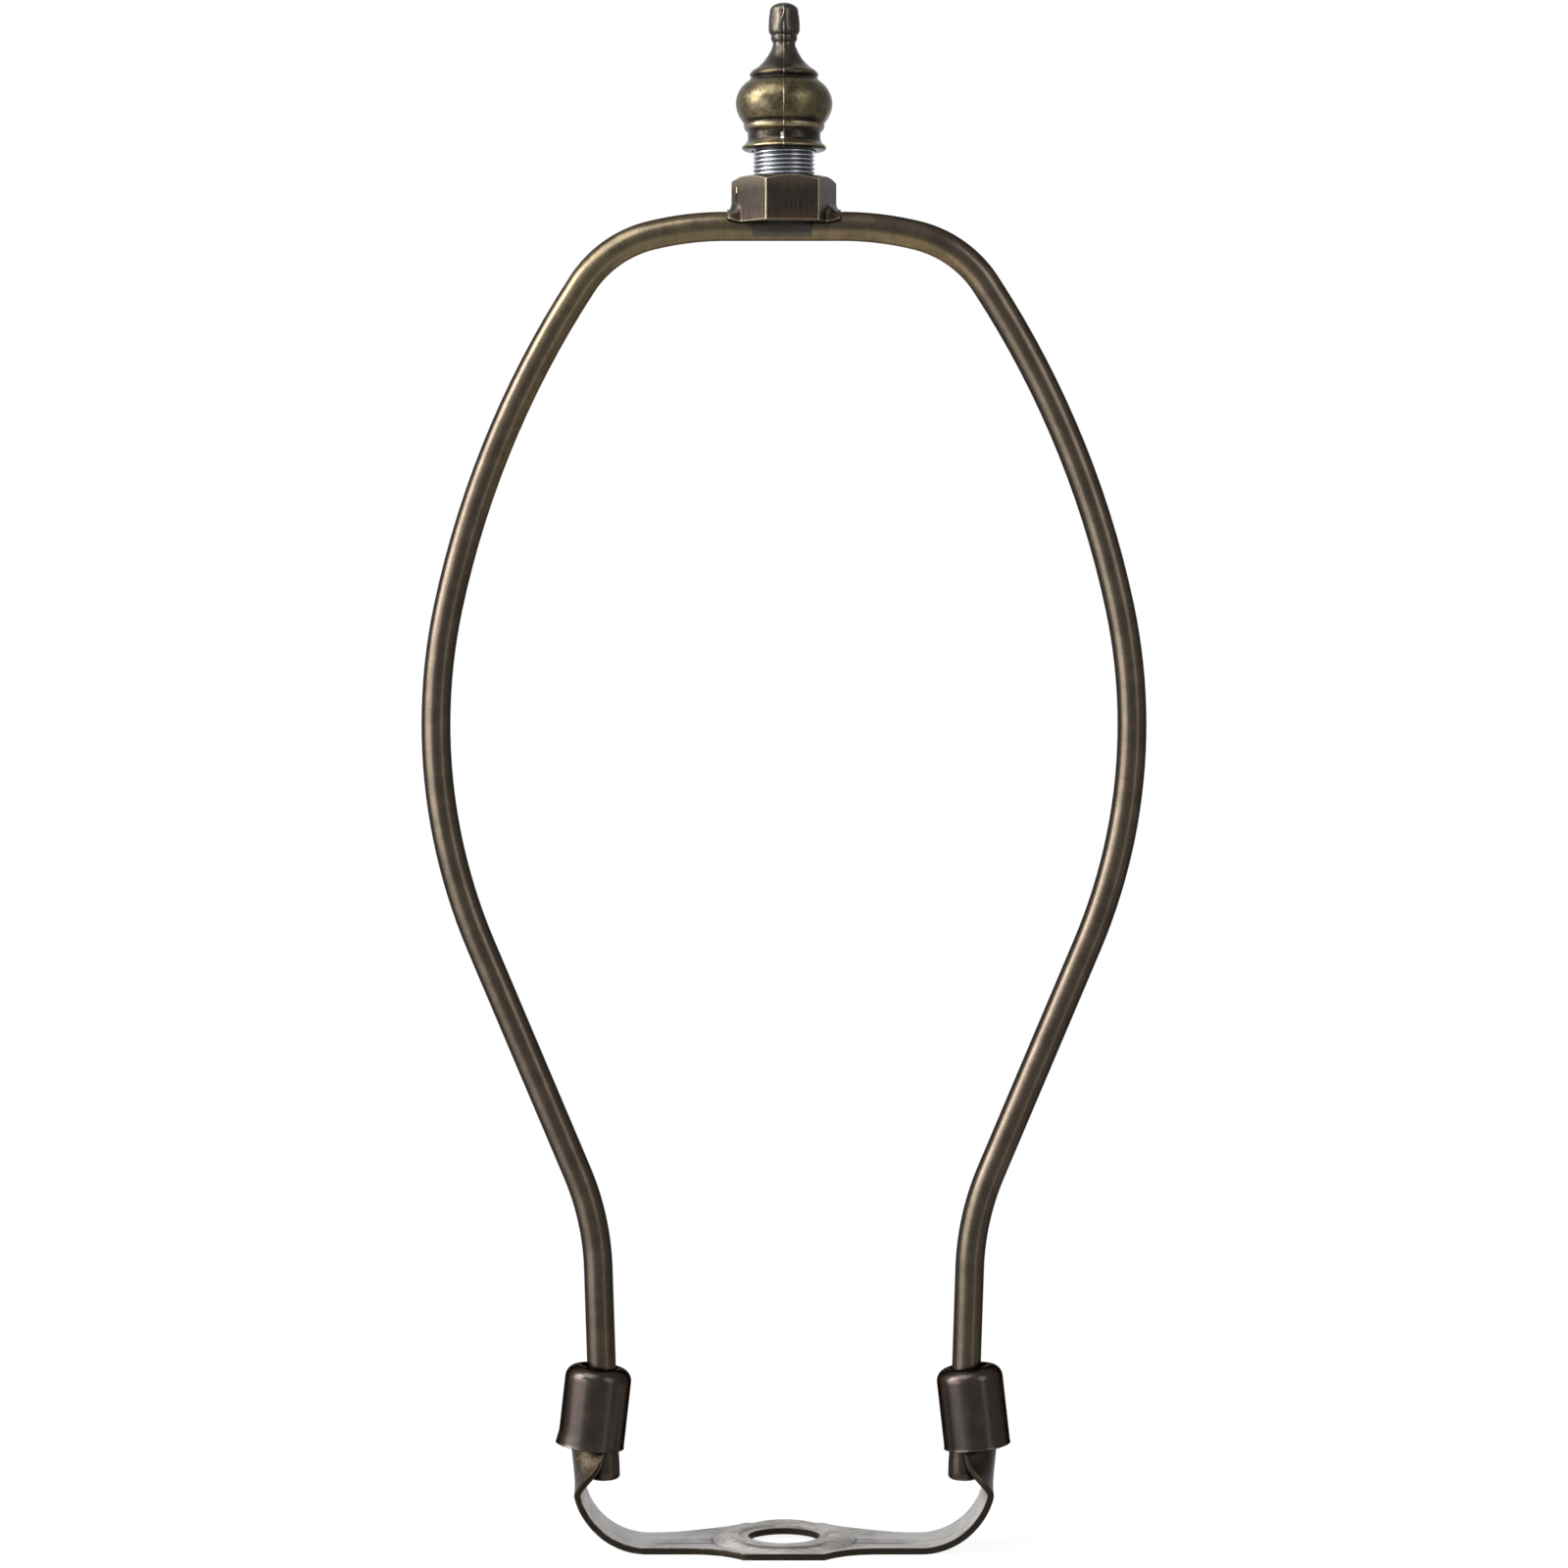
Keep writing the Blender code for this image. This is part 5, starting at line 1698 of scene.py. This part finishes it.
@dataclass
class Studio:
    """The pale floor, the white surroundings, the soft lamps and the camera."""

    floor_half_width: float = 0.14
    floor_front: float = -0.02
    floor_back: float = 0.30
    floor_colour: Colour = (0.86, 0.86, 0.85)
    shadow_share: float = 0.10
    shadow_fade: Span = (50.0, 120.0)
    room_front: float = 0.52
    room_above: float = 0.85
    room_fill: float = 1.0
    behind_span: Span = (0.70, 0.96)
    above_span: Span = (0.40, 0.75)
    leftward: float = -2.0
    camera_place: tuple[float, float, float] = (0.0, -0.643, 0.1396)
    aim_height: float = 0.1139
    lens: float = 99.69
    sensor_width: float = 36.0
    nearest: float = 0.01
    lamps: tuple[SoftBox, ...] = (
        SoftBox("key_softbox", (-0.668, -0.170, 0.442), (0.40, 0.49), 12.0),
        SoftBox("hot_softbox", (-0.720, -0.200, 0.560), (0.32, 0.14), 8.0),
        SoftBox("side_softbox", (-0.449, -0.219, 0.125), (0.45, 0.245), 4.0),
        SoftBox("leg_softbox", (-0.449, -0.219, -0.052), (0.42, 0.075), 0.3),
        SoftBox("low_softbox", (-0.645, -0.315, -0.106), (0.64, 0.70), 1.2),
        SoftBox("strip_softbox", (0.528, -0.528, 0.178), (0.13, 1.50), 1.3),
        SoftBox("mid_strip_softbox", (0.528, -0.528, 0.150), (0.11, 0.30), 0.7),
        SoftBox("high_softbox", (0.477, -0.477, 0.442), (0.34, 0.40), 2.3),
        SoftBox("top_softbox", (-0.330, -0.280, 0.700), (0.56, 0.46), 5.2),
        SoftBox("under_softbox", (0.0, -0.190, -0.300), (0.60, 0.70), 0.45),
    )

    def build(self) -> None:
        """Makes the studio."""
        self._floor()
        self._room()
        target = Vector((0.0, 0.0, self.aim_height))
        for lamp in self.lamps:
            lamp.build(target)
        self._camera(target)
        bpy.context.scene.view_settings.view_transform = "Standard"

    def _floor(self) -> None:
        """Lays a small floor, white to the eye and in reflections, that keeps a soft shadow."""
        bm = bmesh.new()
        bmesh.ops.create_grid(bm, x_segments=1, y_segments=1, size=0.5)
        depth = self.floor_back - self.floor_front
        for vert in bm.verts:
            back = self.floor_front + (vert.co.y + 0.5) * depth
            vert.co = (2 * vert.co.x * self.floor_half_width, back, 0.0)
        mesh = bpy.data.meshes.new("studio_floor")
        bm.to_mesh(mesh)
        bm.free()
        tree = FinishTree("pale_floor")
        tree.dress(base_color=self.floor_colour, roughness=0.9)
        x, y, _ = tree.axes(tree.place)
        distance = (x * x + y * y).root()
        path = tree.node("ShaderNodeLightPath").socket.node.outputs
        seen = Signal(tree, path["Is Camera Ray"]) + Signal(tree, path["Is Glossy Ray"])
        seen = seen + Signal(tree, path["Is Transmission Ray"])
        shadowed = self.shadow_share * (1.0 - distance.ramp(*self.shadow_fade))
        seen = seen * (1.0 - shadowed)
        glow = tree.node("ShaderNodeEmission", {}, {"Color": (1.0, 1.0, 1.0), "Strength": 1.0})
        shader = Signal(tree, tree.shader.outputs[0])
        mixed = tree.node("ShaderNodeMixShader", {}, {0: seen, 1: shader, 2: glow})
        tree.feed(tree.material.node_tree.nodes["Material Output"].inputs["Surface"], mixed)
        mesh.materials.append(tree.material)
        floor = bpy.data.objects.new("studio_floor", mesh)
        bpy.context.scene.collection.objects.link(floor)

    def _room(self) -> None:
        """Makes the surroundings: white to the eye, white behind in reflections, dimmer in front."""
        world = bpy.data.worlds.new("studio_room")
        bpy.context.scene.world = world
        world.use_nodes = True
        nodes, links = world.node_tree.nodes, world.node_tree.links
        nodes.clear()
        place = nodes.new("ShaderNodeTexCoord")
        split = nodes.new("ShaderNodeSeparateXYZ")
        behind, above = nodes.new("ShaderNodeMapRange"), nodes.new("ShaderNodeMapRange")
        for ramp, (low, high), top in (
                (behind, self.behind_span, 1.0), (above, self.above_span, self.room_above)):
            ramp.interpolation_type = "SMOOTHSTEP"
            ends = {"From Min": low, "From Max": high, "To Min": self.room_front, "To Max": top}
            for key, value in ends.items():
                ramp.inputs[key].default_value = value
        leftward, brighter = nodes.new("ShaderNodeMath"), nodes.new("ShaderNodeMath")
        leftward.operation, brighter.operation = "MULTIPLY_ADD", "MAXIMUM"
        leftward.inputs[1].default_value = self.leftward
        path = nodes.new("ShaderNodeLightPath")
        glossy = nodes.new("ShaderNodeMix")
        glossy.inputs[2].default_value = self.room_fill
        seen = nodes.new("ShaderNodeMix")
        seen.inputs[3].default_value = 1.0
        shader = nodes.new("ShaderNodeBackground")
        out = nodes.new("ShaderNodeOutputWorld")
        links.new(place.outputs["Generated"], split.inputs[0])
        links.new(split.outputs["Y"], behind.inputs["Value"])
        links.new(split.outputs["X"], leftward.inputs[0])
        links.new(split.outputs["Z"], leftward.inputs[2])
        links.new(leftward.outputs[0], above.inputs["Value"])
        links.new(behind.outputs[0], brighter.inputs[0])
        links.new(above.outputs[0], brighter.inputs[1])
        links.new(path.outputs["Is Glossy Ray"], glossy.inputs[0])
        links.new(brighter.outputs[0], glossy.inputs[3])
        links.new(path.outputs["Is Camera Ray"], seen.inputs[0])
        links.new(glossy.outputs[0], seen.inputs[2])
        links.new(seen.outputs[0], shader.inputs["Strength"])
        shader.inputs["Color"].default_value = (1.0, 1.0, 1.0, 1.0)
        links.new(shader.outputs[0], out.inputs["Surface"])

    def _camera(self, target: Vector) -> None:
        """Sets the camera at the photograph's angle.

        Args:
            target: What it looks at.
        """
        data = bpy.data.cameras.new("studio_camera")
        data.lens = self.lens
        data.sensor_width = self.sensor_width
        data.clip_start = self.nearest
        camera = bpy.data.objects.new("studio_camera", data)
        camera.location = self.camera_place
        aim = target - Vector(self.camera_place)
        camera.rotation_euler = aim.to_track_quat("-Z", "Y").to_euler()
        bpy.context.scene.collection.objects.link(camera)
        bpy.context.scene.camera = camera


def main() -> None:
    """Builds the pieces in order, then the studio."""
    logging.basicConfig(level=logging.INFO, format="%(name)s: %(message)s")
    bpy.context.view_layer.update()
    crown = WireBow().build(BrushedBronze())
    log.info("crown centreline at %.3f mm", crown / MM)
    Saddle().build(StampedBronze())
    ferrule_finish = DrawnBronze().material()
    Ferrule(Side.LEFT, flare=0.3 * MM).build(ferrule_finish)
    Ferrule(Side.RIGHT).build(ferrule_finish)
    seat = HexSeat(crown)
    seat.build(TurnedBronze())
    stud_low, stud_high = (corner.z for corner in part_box("threaded_stud"))
    ThreadedStud(stud_low, stud_high).build(ZincPlate())
    Finial(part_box("finial")[0].z).build(CastBrass())
    Studio().build()


if __name__ == "__main__":
    main()
